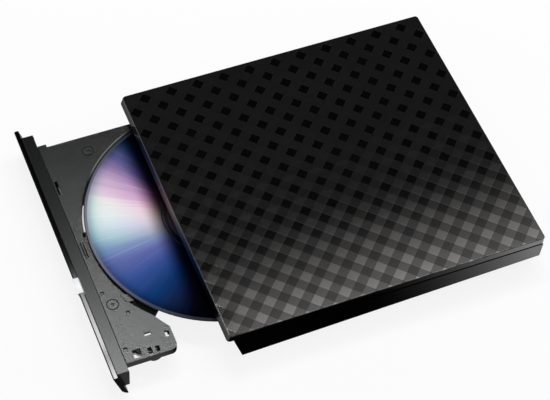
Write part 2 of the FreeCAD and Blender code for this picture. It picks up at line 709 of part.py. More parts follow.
FLAP_REAR = TRAY_FRONT + 24.3
FLAP_TURN_X = TRAY_RIGHT - 11.6
FLAP_ARC_X = FLAP_TURN_X - 8.1
FLAP_ARC_RADIUS = RECESS_RADIUS + 3.2
NOTCH_LEFT = FLAP_ARC_X - 11.1
NOTCH_RADIUS = RECESS_RADIUS - 3.8
NOTCH_REAR = HUB.y - 12.0
EAR_OUT = 1.7
EAR_FRONT = 0.1
EAR_REAR = 4.1
COVER_POSTS = [(-48.0, 9.0), (-50.0, 117.0), (20.0, 117.0), (14.0, 7.0)]
BEZEL_LUGS = [-44.0, 8.0]
BOTTOM_SHEET = 0.4
POCKET_FLOOR = 0.8
GROOVE_WIDTH = 0.5
GROOVE_PITCH = 1.0
BOTTOM_COVER_LOW = 5.3
DAMPER_BOSS_TOP = DISC_LOW - 0.4
DAMPER_BOSS_RADIUS = 2.4


def notch():
    """Finger gap beside the disc, behind the flap that carries the latch."""
    block = box((NOTCH_LEFT, TRAY_FRONT + 12, TRAY_LOW - 2), (TRAY_RIGHT + 5, NOTCH_REAR, TRAY_TOP + 1))
    core = post(HUB.x, HUB.y, TRAY_LOW - 3, TRAY_TOP + 2, NOTCH_RADIUS)
    arc_y = HUB.y - math.sqrt(FLAP_ARC_RADIUS ** 2 - FLAP_ARC_X ** 2)
    front_y = TRAY_FRONT - 1
    flap = slab([(NOTCH_LEFT, front_y), (TRAY_RIGHT + 6, front_y), (TRAY_RIGHT + 6, FLAP_REAR),
                 (FLAP_TURN_X, FLAP_REAR), (FLAP_ARC_X, arc_y), (NOTCH_LEFT, arc_y)], TRAY_LOW - 3, TRAY_TOP + 2)
    wide_circle = post(HUB.x, HUB.y, TRAY_LOW - 4, TRAY_TOP + 3, FLAP_ARC_RADIUS)
    left_of_turn = box((NOTCH_LEFT - 13, front_y - 1, TRAY_LOW - 4), (FLAP_ARC_X, FLAP_REAR, TRAY_TOP + 3))
    flap = flap.cut(wide_circle.common(left_of_turn))
    return block.cut([core, flap])


def tray_cut_outs():
    """Slots and windows through the tray, placed from its front and right edges."""
    front = TRAY_FRONT
    right = TRAY_RIGHT
    places = [
        (right - 5.6, right - 1.2, front + 4.4, front + 8.2),
        (right - 9.9, right - 7.0, front + 21.0, front + 23.1),
        (TRAY_LEFT + 20.5, TRAY_LEFT + 28.4, front + 0.8, front + 2.4),
    ]
    return [box((x1, y1, TRAY_LOW - 3), (x2, y2, TRAY_TOP + 1)) for x1, x2, y1, y2 in places]


def tray_pockets():
    """Deep blind pockets beside the windows."""
    front = TRAY_FRONT
    right = TRAY_RIGHT
    places = [
        (right - 4.4, right - 1.3, front + 11.0, front + 13.0),
        (right - 4.1, right - 1.2, front + 14.6, front + 16.5),
        (right - 12.0, right - 10.5, front + 12.3, front + 15.4),
    ]
    return [box((x1, y1, TRAY_LOW + POCKET_FLOOR), (x2, y2, TRAY_TOP + 1)) for x1, x2, y1, y2 in places]


def wide_sector():
    """Wider stretch of the recess, from the front round to the finger gap."""
    reach = 2 * RECESS_RADIUS
    corners = [(HUB.x, HUB.y)]
    for degrees in (WIDE_START, WIDE_END):
        angle = math.radians(degrees)
        corners.append((HUB.x + reach * math.cos(angle), HUB.y + reach * math.sin(angle)))
    wedge = slab(corners, RECESS_FLOOR, TRAY_TOP + 1)
    return post(HUB.x, HUB.y, RECESS_FLOOR, TRAY_TOP + 1, DISC_RADIUS + WIDE_GAP).common(wedge)


def tray_marks():
    """Shallow rings, ejector-pin marks and a short row of grooves on the tray's top."""
    marks = []
    for x, y in ((TRAY_LEFT + 8.7, TRAY_FRONT + 21.4), (TRAY_RIGHT - 30.8, TRAY_FRONT + 4.4)):
        marks.append(ring(x, y, TRAY_TOP - 0.3, TRAY_TOP + 1, 2.9, 2.4))
        marks.append(post(x, y, TRAY_TOP - 0.4, TRAY_TOP + 1, 0.7))
    for x, y in ((TRAY_RIGHT - 37.9, 2.0), (TRAY_RIGHT - 24.5, 9.4), (TRAY_RIGHT - 6.9, 2.1)):
        y += TRAY_FRONT
        marks.append(box((x - 0.9, y - 0.9, TRAY_TOP - 0.5), (x + 0.9, y + 0.9, TRAY_TOP + 1)))
    groove_x = 1.2
    groove_floor = TRAY_TOP - 1.4
    for index in range(3):
        y = TRAY_FRONT + 1.2 + GROOVE_PITCH * index
        marks.append(box((groove_x - 4.4, y, groove_floor), (groove_x + 4.4, y + GROOVE_WIDTH, TRAY_TOP + 1)))
    return marks


def tray():
    """Moulded tray: disc recess, flap with the latch, side ribs that run in the rails."""
    plate = box((TRAY_LEFT, TRAY_FRONT, TRAY_LOW), (TRAY_RIGHT, TRAY_REAR, TRAY_TOP))
    rear_corners = [edge for edge in plate.Edges
                    if is_upright(edge) and edge.CenterOfMass.y > 0]
    plate = plate.makeFillet(TRAY_CORNER, rear_corners)
    step_low = RIB_LOW
    runner_left = box((TRAY_LEFT + STEP_IN, TRAY_FRONT + 4, step_low), (TRAY_LEFT + 2.8, TRAY_REAR - 4, TRAY_LOW + 1))
    rib_left = box((TRAY_LEFT - RIB_OUT, TRAY_FRONT + 4, RIB_LOW), (TRAY_LEFT + 2.8, TRAY_REAR - 4, RIB_HIGH))
    cut_left = box((TRAY_LEFT - 1, TRAY_FRONT + 4, TRAY_LOW - 1), (TRAY_LEFT + STEP_IN, TRAY_REAR + 1, STEP_TOP))
    cut_right = mirrored(cut_left).common(
        box((0, NOTCH_REAR - 1, 0), (TRAY_RIGHT + 5, TRAY_REAR + 2, TOP)))
    right_zone = box((0, NOTCH_REAR, 0), (TRAY_RIGHT + 5, TRAY_REAR + 2, TOP))
    plate = plate.cut([cut_left, cut_right])
    runners = [runner_left, rib_left]
    runners += [mirrored(part).common(right_zone) for part in (runner_left, rib_left)]
    ear = box((TRAY_LEFT - EAR_OUT, TRAY_FRONT + EAR_FRONT, TRAY_TOP - 1.9),
              (TRAY_LEFT + 1, TRAY_FRONT + EAR_REAR, TRAY_TOP))
    posts = [post(x, TRAY_FRONT + y, BOTTOM_COVER_LOW + BOTTOM_SHEET, TRAY_LOW + 0.5, 2.0) for x, y in COVER_POSTS]
    hangers = []
    for low_x in (roller_left() - 1.0, roller_left() + ROLLER_WIDTH + 0.1):
        y = TRAY_FRONT + ROLLER_BEHIND_FRONT
        hangers.append(box((low_x, y - 1.2, TRAY_LOW - 0.9), (low_x + 0.7, y + 1.2, TRAY_LOW + 3)))
    pivot = post(LATCH_PIVOT[0], LATCH_PIVOT[1], LATCH_LOW - 0.3, TRAY_LOW + 1, 1.2)
    body = join([plate] + runners + [ear, pivot] + posts)
    recess = post(HUB.x, HUB.y, RECESS_FLOOR, TRAY_TOP + 1, RECESS_RADIUS)
    rim = Part.makeCone(RECESS_RADIUS, RECESS_RADIUS + 2 * RECESS_CHAMFER, 2 * RECESS_CHAMFER,
                        Vector(HUB.x, HUB.y, TRAY_TOP - RECESS_CHAMFER))
    pit_place = unit_point(*DAMPER_PLACES[0])
    pit = post(pit_place.x, pit_place.y, RECESS_FLOOR, TRAY_TOP + 1, 4.0)
    hub_hole = post(HUB.x, HUB.y, TRAY_LOW - 1, TRAY_TOP, TURNTABLE_RADIUS + 1.4)
    sled_window = on_unit(box((0, -11.5, TRAY_LOW - 1), (WINDOW_END - 1, 11.5, TRAY_TOP)))
    roller_y = TRAY_FRONT + ROLLER_BEHIND_FRONT
    roller_room = ROLLER_RADIUS + ROLLER_ROOM
    roller_right = roller_left() + ROLLER_WIDTH
    roof = ROLLER_HEIGHT + roller_room - 0.2
    roller_pocket = box((roller_left() - 0.3, roller_y - roller_room, TRAY_LOW - 1),
                        (roller_right + 0.1, roller_y + roller_room, roof))
    latch_pocket = box((FLAP_TURN_X - 8, TRAY_FRONT + 1.4, TRAY_LOW - 1),
                       (roller_left() - 1.2, FLAP_REAR - 1.6, TRAY_TOP - 1.3))
    latch_pocket = latch_pocket.cut(post(LATCH_PIVOT[0], LATCH_PIVOT[1], 0, TOP, 2.2))
    latch_pocket = latch_pocket.cut(box((SOLENOID_LEFT, SOLENOID_FRONT, 0), (SOLENOID_RIGHT, SOLENOID_REAR, TOP)))
    left_pocket = box((TRAY_LEFT + 5, TRAY_FRONT + 5, TRAY_LOW - 1), (TRAY_LEFT + 14, TRAY_FRONT + 24, TRAY_TOP - 1.6))
    cuts = [recess, rim, wide_sector(), pit, hub_hole, sled_window, notch()]
    cuts += [roller_pocket, latch_pocket, left_pocket]
    body = body.cut(cuts + tray_cut_outs() + tray_pockets() + tray_marks())
    flap_corner = [edge for edge in body.Edges if is_upright(edge) and edge.Length > TRAY_THICKNESS - 0.1
                   and abs(edge.CenterOfMass.x - TRAY_RIGHT) < 0.01 and abs(edge.CenterOfMass.y - FLAP_REAR) < 0.01]
    body = body.makeFillet(TRAY_CORNER, flap_corner)
    bosses = [post(p.x, p.y, TRAY_LOW, DAMPER_BOSS_TOP, DAMPER_BOSS_RADIUS)
              for p in (unit_point(*place) for place in DAMPER_PLACES)]
    body = join([body] + bosses + hangers)
    axle = rod(Vector(roller_left() - 2, roller_y, ROLLER_HEIGHT), Vector(TRAY_RIGHT + 1, roller_y, ROLLER_HEIGHT), 0.6)
    drill = [post(x, y, TRAY_LOW - 1, TRAY_LOW + 2.6, 0.85) for x, y in bezel_screw_places()]
    drill += [post(x, TRAY_FRONT + y, BOTTOM_COVER_LOW, TRAY_LOW, 0.85) for x, y in COVER_POSTS]
    drill += [post(p.x, p.y, TRAY_LOW - 1, DAMPER_BOSS_TOP - 0.3, 0.95)
              for p in (unit_point(*place) for place in DAMPER_PLACES)]
    return carve(body, [axle] + drill)


def roller_left():
    return TRAY_RIGHT - ROLLER_SIDE_GAP - ROLLER_WIDTH


def bezel_screw_places():
    return [(x, TRAY_FRONT + BEZEL_SCREW_BACK) for x in BEZEL_LUGS]


def guide_roller():
    """Small roller with stub axles at the flap's side."""
    y = TRAY_FRONT + ROLLER_BEHIND_FRONT
    start = roller_left()
    wheel = rod(Vector(start, y, ROLLER_HEIGHT), Vector(start + ROLLER_WIDTH, y, ROLLER_HEIGHT), ROLLER_RADIUS)
    axle = rod(Vector(start - 0.9, y, ROLLER_HEIGHT), Vector(TRAY_RIGHT - 0.1, y, ROLLER_HEIGHT), 0.55)
    return join([wheel, axle])


def tray_bottom_cover():
    """Thin sheet under the laser unit, screwed to the tray's posts."""
    low = BOTTOM_COVER_LOW
    high = low + BOTTOM_SHEET
    front = TRAY_FRONT + 2
    rear = TRAY_REAR - 4
    sheet = slab([(-54, front), (20, front), (27, front + 8), (27, rear), (-54, rear)], low, high)
    holes = []
    for place in DAMPER_PLACES:
        p = unit_point(*place)
        holes.append(post(p.x, p.y, low - 1, high + 1, 2.8))
    holes += [post(x, TRAY_FRONT + y, low - 1, high + 1, 0.85) for x, y in COVER_POSTS]
    cable_slot = box((CABLE_LEFT - 1, CABLE_TRAY_END - 6, low - 1),
                     (CABLE_LEFT + CABLE_WIDTH + 1, CABLE_TRAY_END, high + 1))
    return carve(sheet, holes + [cable_slot])


def tray_cover_screws():
    places = [(x, TRAY_FRONT + y) for x, y in COVER_POSTS]
    made = []
    for x, y in places:
        head = Part.makeCone(1.5, 1.8, 0.3, Vector(x, y, BOTTOM_COVER_LOW - 0.3))
        made.append(join([head, post(x, y, BOTTOM_COVER_LOW - 0.05, TRAY_LOW - 0.3, 0.8)]))
    return Part.makeCompound(made)


# Bezel

def plate_front(height):
    """Y of the raked front face at a height."""
    return FRONT + BEZEL_SET_BACK + FRONT_RAKE * (BEZEL_PLATE_TOP - height)


def button_block(gap, front_extra, back_extra, low, high):
    """A raked block as wide as the button, between two heights."""
    half = BUTTON_WIDTH / 2 + gap
    corners = [(plate_front(high) - front_extra, high), (plate_front(high) + back_extra, high),
               (plate_front(low) + back_extra, low), (plate_front(low) - front_extra, low)]
    return section(corners, BUTTON_X - half, BUTTON_X + half)


def bezel_plate():
    """Glossy raked front plate, as wide as the housing, pointed at its lower edge."""
    low = BEZEL_PLATE_BOTTOM
    turn = low + 2.6
    top = BEZEL_PLATE_TOP
    thick = BEZEL_PLATE_THICKNESS
    outline = [(plate_front(top), top), (plate_front(top) + thick, top),
               (plate_front(low) + thick, low), (plate_front(low) + 1.6, low),
               (plate_front(low) + 0.5, low + 0.9), (plate_front(turn), turn)]
    plate = section(outline, -HALF_WIDTH, HALF_WIDTH)
    top_edges = [edge for edge in plate.Edges
                 if abs(edge.CenterOfMass.z - top) < 0.01 and edge.CenterOfMass.y < plate_front(top) + 0.1]
    plate = plate.makeChamfer(PLATE_CHAMFER, top_edges)
    return plate.cut(button_block(BUTTON_GAP, 2.0, 4.0, BUTTON_BOTTOM - BUTTON_GAP, top + 1))


def bezel_body():
    """Matt carrier behind the plate, hollow from the rear, with two lugs under the tray."""
    half = SIDE_IN - BEZEL_SIDE_GAP
    top = BEZEL_BODY_TOP
    low = BEZEL_BODY_BOTTOM
    thick = BEZEL_PLATE_THICKNESS
    outline = [(plate_front(top) + thick, top), (BEZEL_BACK, top), (BEZEL_BACK, low), (plate_front(low) + thick, low)]
    body = section(outline, -half, half)
    inner_low = low + BEZEL_WALL
    inner_top = top - BEZEL_WALL
    shift = thick + BEZEL_WALL
    inner = section([(plate_front(inner_top) + shift, inner_top), (BEZEL_BACK + 1, inner_top),
                     (BEZEL_BACK + 1, inner_low), (plate_front(inner_low) + shift, inner_low)],
                    BEZEL_WALL - half, half - BEZEL_WALL)
    lugs = []
    for x in BEZEL_LUGS:
        lugs.append(box((x - 4, BEZEL_BACK - 3.0, TRAY_LOW - 1.6), (x + 4, TRAY_FRONT + 6.4, TRAY_LOW)))
    half_tray = TRAY_WIDTH / 2 - 4
    tie_low = TRAY_LOW - 1.6
    tie = box((TRAY_CENTRE_X - half_tray, BEZEL_BACK - 1.5, tie_low), (TRAY_CENTRE_X + half_tray, BEZEL_BACK, tie_low + 1))
    seam = box((-half - 1, BEZEL_BACK - BEZEL_SEAM, inner_top), (half + 1, BEZEL_BACK + 1, top + 1))
    stem_hole = box((BUTTON_X - 1.6, FRONT, STEM_HEIGHT - 1.2), (BUTTON_X + 1.6, BEZEL_BACK - 2, STEM_HEIGHT + 1.2))
    body = join([body.cut(inner)] + lugs + [tie])
    holes = [post(x, y, 0, TRAY_LOW + 1, SCREW_RADIUS + HOLE_CLEARANCE) for x, y in bezel_screw_places()]
    return carve(body, [seam, stem_hole] + holes)


STEM_HEIGHT = 12.4
SWITCH_BACK = BEZEL_BACK - 0.3
SWITCH_FRONT = SWITCH_BACK - 1.8


def bezel_screws():
    return screws(bezel_screw_places(), TRAY_LOW - 1.6, 4.0, 0.8, up=False, head_radius=1.6)


def eject_button():
    """Key in the plate's top edge. It reaches over the bezel's body, and its stem reaches into its switch."""
    step = BEZEL_BODY_TOP + BUTTON_ABOVE_BODY
    cap_back = BEZEL_PLATE_THICKNESS + BUTTON_OVERHANG
    shank_back = BEZEL_PLATE_THICKNESS - BUTTON_STROKE - BUTTON_GAP
    cap = button_block(0.0, BUTTON_PROUD, cap_back, step, BEZEL_PLATE_TOP + BUTTON_ABOVE_PLATE)
    shank = button_block(0.0, BUTTON_PROUD, shank_back, BUTTON_BOTTOM, step)
    stem_start = plate_front(STEM_HEIGHT) + 1.0
    stem = box((BUTTON_X - 1.2, stem_start, STEM_HEIGHT - 0.9), (BUTTON_X + 1.2, SWITCH_FRONT - 0.7, STEM_HEIGHT + 0.9))
    tip = rod(Vector(BUTTON_X, SWITCH_FRONT - 0.8, STEM_HEIGHT), Vector(BUTTON_X, SWITCH_FRONT + 0.3, STEM_HEIGHT), 0.5)
    return join([cap, shank, stem, tip])


def button_board():
    """Small upright board against the tray's front edge, behind the key."""
    return box((BUTTON_X - 9, SWITCH_BACK, TRAY_LOW + 0.1),
               (BUTTON_X + 9, BEZEL_BACK, BEZEL_BODY_TOP - BEZEL_WALL - 0.1))


def eject_switch():
    """Push switch with a hole that takes the key's tip."""
    body = box((BUTTON_X - 2.4, SWITCH_FRONT, STEM_HEIGHT - 2.6), (BUTTON_X + 2.4, SWITCH_BACK, STEM_HEIGHT + 1.0))
    hole = rod(Vector(BUTTON_X, SWITCH_FRONT - 1, STEM_HEIGHT), Vector(BUTTON_X, SWITCH_FRONT + 1.2, STEM_HEIGHT), 0.6)
    return body.cut(hole)


def activity_led():
    """Lamp beside the switch."""
    return box((BUTTON_X - 5.4, SWITCH_BACK - 0.8, STEM_HEIGHT - 1.6), (BUTTON_X - 3.8, SWITCH_BACK, STEM_HEIGHT - 0.4))


# Latch

SOLENOID_LEFT = LATCH_PIVOT[0] - 13.0
SOLENOID_RIGHT = LATCH_PIVOT[0] - 4.4
SOLENOID_FRONT = TRAY_FRONT + 1.6
SOLENOID_REAR = TRAY_FRONT + 10.0
PLUNGER_Y = LATCH_PIVOT[1] - 3.6


def latch_solenoid():
    """Coil box under the flap, with its plunger towards the lever's tail."""
    body = box((SOLENOID_LEFT, SOLENOID_FRONT, TRAY_LOW - 3.2), (SOLENOID_RIGHT, SOLENOID_REAR, TRAY_LOW))
    height = (LATCH_LOW + LATCH_HIGH) / 2
    plunger = rod(Vector(SOLENOID_RIGHT - 1, PLUNGER_Y, height), Vector(SOLENOID_RIGHT + 1.9, PLUNGER_Y, height), 0.9)
    return join([body, plunger])


def latch_lever():
    """Hooked lever, drawn in its released position."""
    x, y = LATCH_PIVOT
    tip = y + LATCH_ARM
    arm = box((x - 1.4, y, LATCH_LOW), (x + 1.4, tip, LATCH_HIGH))
    nose = slab([(x - 1.4 - LATCH_NOSE, tip - 1.1), (x, tip - 1.1), (x, tip), (x - 1.4, tip + 0.9)],
                LATCH_LOW, LATCH_HIGH)
    tail = box((x - 1.0, y - 4.6, LATCH_LOW), (x + 1.0, y, LATCH_HIGH))
    hub = post(x, y, LATCH_LOW, LATCH_HIGH, 2.4)
    lever = join([arm, nose, tail, hub]).cut(post(x, y, 0, TOP, 1.25))
    lever.rotate(Vector(x, y, 0), Vector(0, 0, 1), -LATCH_SWING)
    return lever


def coil_path(radius, pitch, turns):
    """Centre line of a rising coil, in quarter-turn arcs."""
    def point(quarters):
        angle = quarters * math.pi / 2
        return Vector(radius * math.cos(angle), radius * math.sin(angle), pitch * quarters / 4)
    arcs = [Part.Arc(point(start), point(start + 0.5), point(start + 1)).toShape() for start in range(4 * turns)]
    return Part.Wire(arcs)


SPRING_WIRE = 0.16
SPRING_PITCH = 0.42
SPRING_RADIUS = 1.62


def latch_spring():
    """Small coil around the pivot, above the lever."""
    x, y = LATCH_PIVOT
    path = coil_path(SPRING_RADIUS, SPRING_PITCH, 2)
    outline = Part.Wire(Part.makeCircle(SPRING_WIRE, Vector(SPRING_RADIUS, 0, 0), Vector(0, 1, 0)))
    coil = path.makePipeShell([outline], True, False)
    coil.translate(Vector(x, y, LATCH_HIGH + SPRING_WIRE))
    return coil


# Laser unit

def unit_frame():
    """Die-cast frame that carries the spindle motor, the rods and the sled's drive."""
    low = UNIT_LOW
    high = UNIT_HIGH
    main = box((-16, -24.5, low), (WINDOW_END + 3.5, 18.5, high))
    arm = box((-61.5, 2, low), (-15, 18.5, high))
    ears = []
    for along, across in DAMPER_PLACES[1:]:
        inner = 18.0 if across > 0 else -24.0
        corners = sorted((inner, across + (4.5 if across > 0 else -4.5)))
        ears.append(box((along - 4.5, corners[0], low), (along + 4.5, corners[1], high)))
    frame = join([main, arm] + ears)
    window = box((WINDOW_START, -20.8, low - 1), (WINDOW_END, 15.3, high + 1))
    motor_pocket = box((MOTOR_START - 0.2, -23.2, low - 1), (WINDOW_START + 1, -14.9, high + 1))
    hub_hole = post(0, 0, low - 1, high + 1, ROTOR_RADIUS + 0.8)
    frame = frame.cut([window, motor_pocket, hub_hole])
    for along, across in DAMPER_PLACES:
        frame = frame.cut(post(along, across, low - 1, low + 1.0, DAMPER_RADIUS + 0.3))
        frame = frame.cut(post(along, across, high - 0.4, high + 1, DAMPER_RADIUS + 0.3))
        frame = frame.cut(post(along, across, low - 1, high + 1, DAMPER_RADIUS - 1.0))
    for side in (-1, 1):
        bore = rod(Vector(ROD_START, side * ROD_OFFSET, ROD_HEIGHT), Vector(ROD_END, side * ROD_OFFSET, ROD_HEIGHT),
                   ROD_RADIUS + 0.02)
        frame = frame.cut(bore)
    frame = on_unit(frame)
    limit = box((TRAY_LEFT + 3.2, -REACH, 0), (REACH, TRAY_REAR - 0.4, TOP))
    return frame.common(limit).removeSplitter()


ROD_START = WINDOW_START - 3.4
ROD_END = WINDOW_END + 2.0
MOTOR_START = -12.0
MOTOR_END = 1.0
BEARING_START = 58.6


def dampers():
    """Rubber grommets that carry the laser unit, each in a hole of its frame."""
    made = []
    for place in DAMPER_PLACES:
        p = unit_point(*place)
        lower = post(p.x, p.y, UNIT_LOW, UNIT_LOW + 1.0, DAMPER_RADIUS)
        neck = post(p.x, p.y, UNIT_LOW, UNIT_HIGH, DAMPER_RADIUS - 1.05)
        upper = post(p.x, p.y, UNIT_HIGH - 0.4, TRAY_LOW, DAMPER_RADIUS)
        hole = post(p.x, p.y, 0, TOP, 0.95)
        made.append(join([lower, neck, upper]).cut(hole))
    return Part.makeCompound(made)


def damper_screws():
    places = [(p.x, p.y) for p in (unit_point(*place) for place in DAMPER_PLACES)]
    depth = DAMPER_BOSS_TOP - 0.5 - UNIT_LOW
    return screws(places, UNIT_LOW, depth, 0.9, up=False, head_radius=2.2)


def guide_rods():
    rods = []
    for side in (-1, 1):
        start = unit_point(ROD_START + 0.1, side * ROD_OFFSET, ROD_HEIGHT)
        end = unit_point(ROD_END - 0.1, side * ROD_OFFSET, ROD_HEIGHT)
        rods.append(rod(start, end, ROD_RADIUS))
    return Part.makeCompound(rods)


def motor_base():
    """Steel base and bearing of the spindle motor, against the frame's underside."""
    flange = post(HUB.x, HUB.y, UNIT_LOW - 0.4, UNIT_LOW, ROTOR_RADIUS + 2.4)
    boss = post(HUB.x, HUB.y, UNIT_LOW - 0.4, UNIT_HIGH, 3.6)
    return join([flange, boss]).cut(post(HUB.x, HUB.y, UNIT_LOW, TOP, SHAFT_RADIUS + 0.05))


def stator():
    """Nine wound teeth around the bearing."""
    low = UNIT_LOW + 1.0
    core = ring(HUB.x, HUB.y, low, UNIT_HIGH - 0.2, 5.2, 3.65)
    teeth = []
    for index in range(9):
        tooth = box((4.8, -0.7, low + 0.4), (9.6, 0.7, low + 1.2))
        coil = box((5.6, -1.1, low), (8.8, 1.1, low + 1.6))
        pair = join([tooth, coil])
        pair.rotate(Vector(0, 0, 0), Vector(0, 0, 1), index * 40.0)
        pair.translate(HUB)
        teeth.append(pair)
    return join([core] + teeth)


def spindle_rotor():
    """Cup of the motor with its shaft."""
    low = UNIT_LOW + 0.6
    high = TURNTABLE_LOW
    cup = post(HUB.x, HUB.y, low, high, ROTOR_RADIUS)
    cup = cup.cut(post(HUB.x, HUB.y, low, high - 0.6, ROTOR_RADIUS - 0.7))
    shaft = post(HUB.x, HUB.y, UNIT_LOW + 0.2, high, SHAFT_RADIUS)
    return join([cup, shaft])


def rotor_magnet():
    low = UNIT_LOW + 0.8
    return ring(HUB.x, HUB.y, low, low + 2.0, ROTOR_RADIUS - 0.7, ROTOR_RADIUS - 1.8)


def turntable():
    """Plastic table on the rotor, with the boss that centres the disc."""
    table = post(HUB.x, HUB.y, TURNTABLE_LOW, DISC_LOW - 0.3, TURNTABLE_RADIUS)
    boss = post(HUB.x, HUB.y, TURNTABLE_LOW, DISC_HIGH + 0.1, DISC_HOLE_RADIUS - 0.15)
    cone = Part.makeCone(DISC_HOLE_RADIUS - 0.15, DISC_HOLE_RADIUS - 1.6, 1.2,
                         Vector(HUB.x, HUB.y, DISC_HIGH + 0.1))
    body = join([table, boss, cone])
    slots = []
    for index in range(3):
        slot = box((3.6, -1.3, DISC_LOW), (DISC_HOLE_RADIUS + 1, 1.3, TOP))
        slot.rotate(Vector(0, 0, 0), Vector(0, 0, 1), 30 + index * 120.0)
        slot.translate(HUB)
        slots.append(slot)
    return carve(body, slots)


def hub_jaws():
    """Three sprung jaws that grip the disc's edge from above."""
    jaws = []
    for index in range(3):
        points = [(3.7, DISC_LOW), (DISC_HOLE_RADIUS - 0.2, DISC_LOW), (DISC_HOLE_RADIUS - 0.2, DISC_HIGH + 0.05),
                  (DISC_HOLE_RADIUS + 0.4, DISC_HIGH + 0.05), (DISC_HOLE_RADIUS - 0.8, DISC_HIGH + 1.1),
                  (3.7, DISC_HIGH + 1.1)]
        corners = [Vector(radius, -1.2, height) for radius, height in points]
        jaw = Part.Face(Part.makePolygon(corners + corners[:1])).extrude(Vector(0, 2.4, 0))
        jaw.rotate(Vector(0, 0, 0), Vector(0, 0, 1), 30 + index * 120.0)
        jaw.translate(HUB)
        jaws.append(jaw)
    return Part.makeCompound(jaws)


def turntable_pad():
    """Rubber ring that the disc rests on."""
    return ring(HUB.x, HUB.y, DISC_LOW - 0.3, DISC_LOW, TURNTABLE_RADIUS, TURNTABLE_RADIUS - 2.6)


def disc():
    """The disc in the tray."""
    flat = ring(HUB.x, HUB.y, DISC_LOW, DISC_HIGH, DISC_RADIUS, DISC_HOLE_RADIUS)
    rim = [edge for edge in flat.Edges if len(edge.Vertexes) == 1 and abs(edge.Curve.Radius - DISC_RADIUS) < 0.01]
    return flat.makeFillet(0.25, rim)


SLED_FRONT = 9.5
SLED_BACK = 5.0
SLED_LOW = 6.4


def laser_sled():
    """Carriage on the two rods, with a bearing on each and an arm to the lead screw."""
    start = LENS_AT - SLED_FRONT
    end = LENS_AT + SLED_BACK
    body = box((start, -11.8, SLED_LOW), (end, 11.8, UNIT_HIGH))
    bearings = []
    for side in (-1, 1):
        corners = sorted((side * 11.5, side * (ROD_OFFSET + 1.8)))
        bearings.append(box((start, corners[0], SLED_LOW), (end, corners[1], UNIT_HIGH - 0.1)))
    sled = join([body] + bearings)
    cuts = []
    for side in (-1, 1):
        cuts.append(rod(Vector(start - 1, side * ROD_OFFSET, ROD_HEIGHT), Vector(end + 1, side * ROD_OFFSET, ROD_HEIGHT),
                        ROD_RADIUS + 0.05))
    cuts.append(box((LENS_AT - 3.4, -4.4, SLED_LOW + 0.8), (LENS_AT + 3.4, 4.4, TOP)))
    return on_unit(carve(sled, cuts))


def screw_follower():
    """Arm on the sled that rides over the lead screw."""
    start = LENS_AT - 7.0
    end = LENS_AT + 1.0
    inner = -(ROD_OFFSET + 1.8)
    arm = box((start, LEAD_SCREW_OFFSET - 1.6, ROD_HEIGHT), (end, inner, UNIT_HIGH - 0.1))
    saddle = rod(Vector(start - 1, LEAD_SCREW_OFFSET, ROD_HEIGHT), Vector(end + 1, LEAD_SCREW_OFFSET, ROD_HEIGHT),
                 LEAD_SCREW_RADIUS + 0.08)
    return on_unit(arm.cut(saddle))


def lens_base():
    """Yoke and magnets either side of the lens."""
    blocks = []
    for side in (-1, 1):
        corners = sorted((side * 5.2, side * 8.6))
        blocks.append(box((LENS_AT - 4, corners[0], UNIT_HIGH), (LENS_AT + 4, corners[1], UNIT_HIGH + 1.2)))
    bridge = box((LENS_AT - 6.6, -8.6, UNIT_HIGH), (LENS_AT - 4.0, 8.6, UNIT_HIGH + 0.8))
    return on_unit(join(blocks + [bridge]))


LENS_HOLDER_LOW = UNIT_HIGH + 0.5


def lens_holder():
    """Light frame around the lens, moved up and down to focus."""
    holder = box((LENS_AT - 3.2, -4.6, LENS_HOLDER_LOW), (LENS_AT + 3.2, 4.6, LENS_HOLDER_LOW + 1.0))
    holder = round_edges(holder, 0.8, is_upright)
    return on_unit(holder.cut(post(LENS_AT, 0, 0, TOP, LENS_RADIUS)))


def objective_lens():
    """Glass lens with a domed top."""
    edge = post(LENS_AT, 0, LENS_HOLDER_LOW, LENS_HOLDER_LOW + 0.9, LENS_RADIUS)
    dome = Part.makeSphere(3.8, Vector(LENS_AT, 0, LENS_HOLDER_LOW + 1.5 - 3.8))
    dome = dome.common(post(LENS_AT, 0, LENS_HOLDER_LOW + 0.9, LENS_HOLDER_LOW + 1.6, LENS_RADIUS))
    return on_unit(join([edge, dome]))


def sled_motor():
    """Flat stepper can beside the hub, in line with the lead screw."""
    can = box((MOTOR_START, -23.0, UNIT_LOW), (MOTOR_END, -15.1, UNIT_HIGH - 0.1))
    can = round_edges(can, 1.2, lambda edge: abs(edge.CenterOfMass.x - (MOTOR_START + MOTOR_END) / 2) < 0.01)
    nose = rod(Vector(MOTOR_END, LEAD_SCREW_OFFSET, ROD_HEIGHT), Vector(MOTOR_END + 0.8, LEAD_SCREW_OFFSET, ROD_HEIGHT), 1.3)
    bore = rod(Vector(MOTOR_END - 1, LEAD_SCREW_OFFSET, ROD_HEIGHT), Vector(MOTOR_END + 2, LEAD_SCREW_OFFSET, ROD_HEIGHT), 0.6)
    return on_unit(join([can, nose]).cut(bore))


def lead_screw():
    """Screw between the stepper and the far bearing."""
    height = ROD_HEIGHT
    across = LEAD_SCREW_OFFSET
    core = rod(Vector(MOTOR_END + 1, across, height), Vector(BEARING_START - 0.2, across, height), LEAD_SCREW_RADIUS)
    shaft = rod(Vector(MOTOR_END - 0.8, across, height), Vector(BEARING_START + 1.8, across, height), 0.55)
    return on_unit(join([core, shaft]))


def screw_bearing():
    """Block that holds the lead screw's far end."""
    block = box((BEARING_START, -20.8, UNIT_LOW), (BEARING_START + 2.2, -16.4, UNIT_HIGH))
    bore = rod(Vector(BEARING_START - 1, LEAD_SCREW_OFFSET, ROD_HEIGHT),
               Vector(BEARING_START + 2, LEAD_SCREW_OFFSET, ROD_HEIGHT), 0.6)
    return on_unit(block.cut(bore))


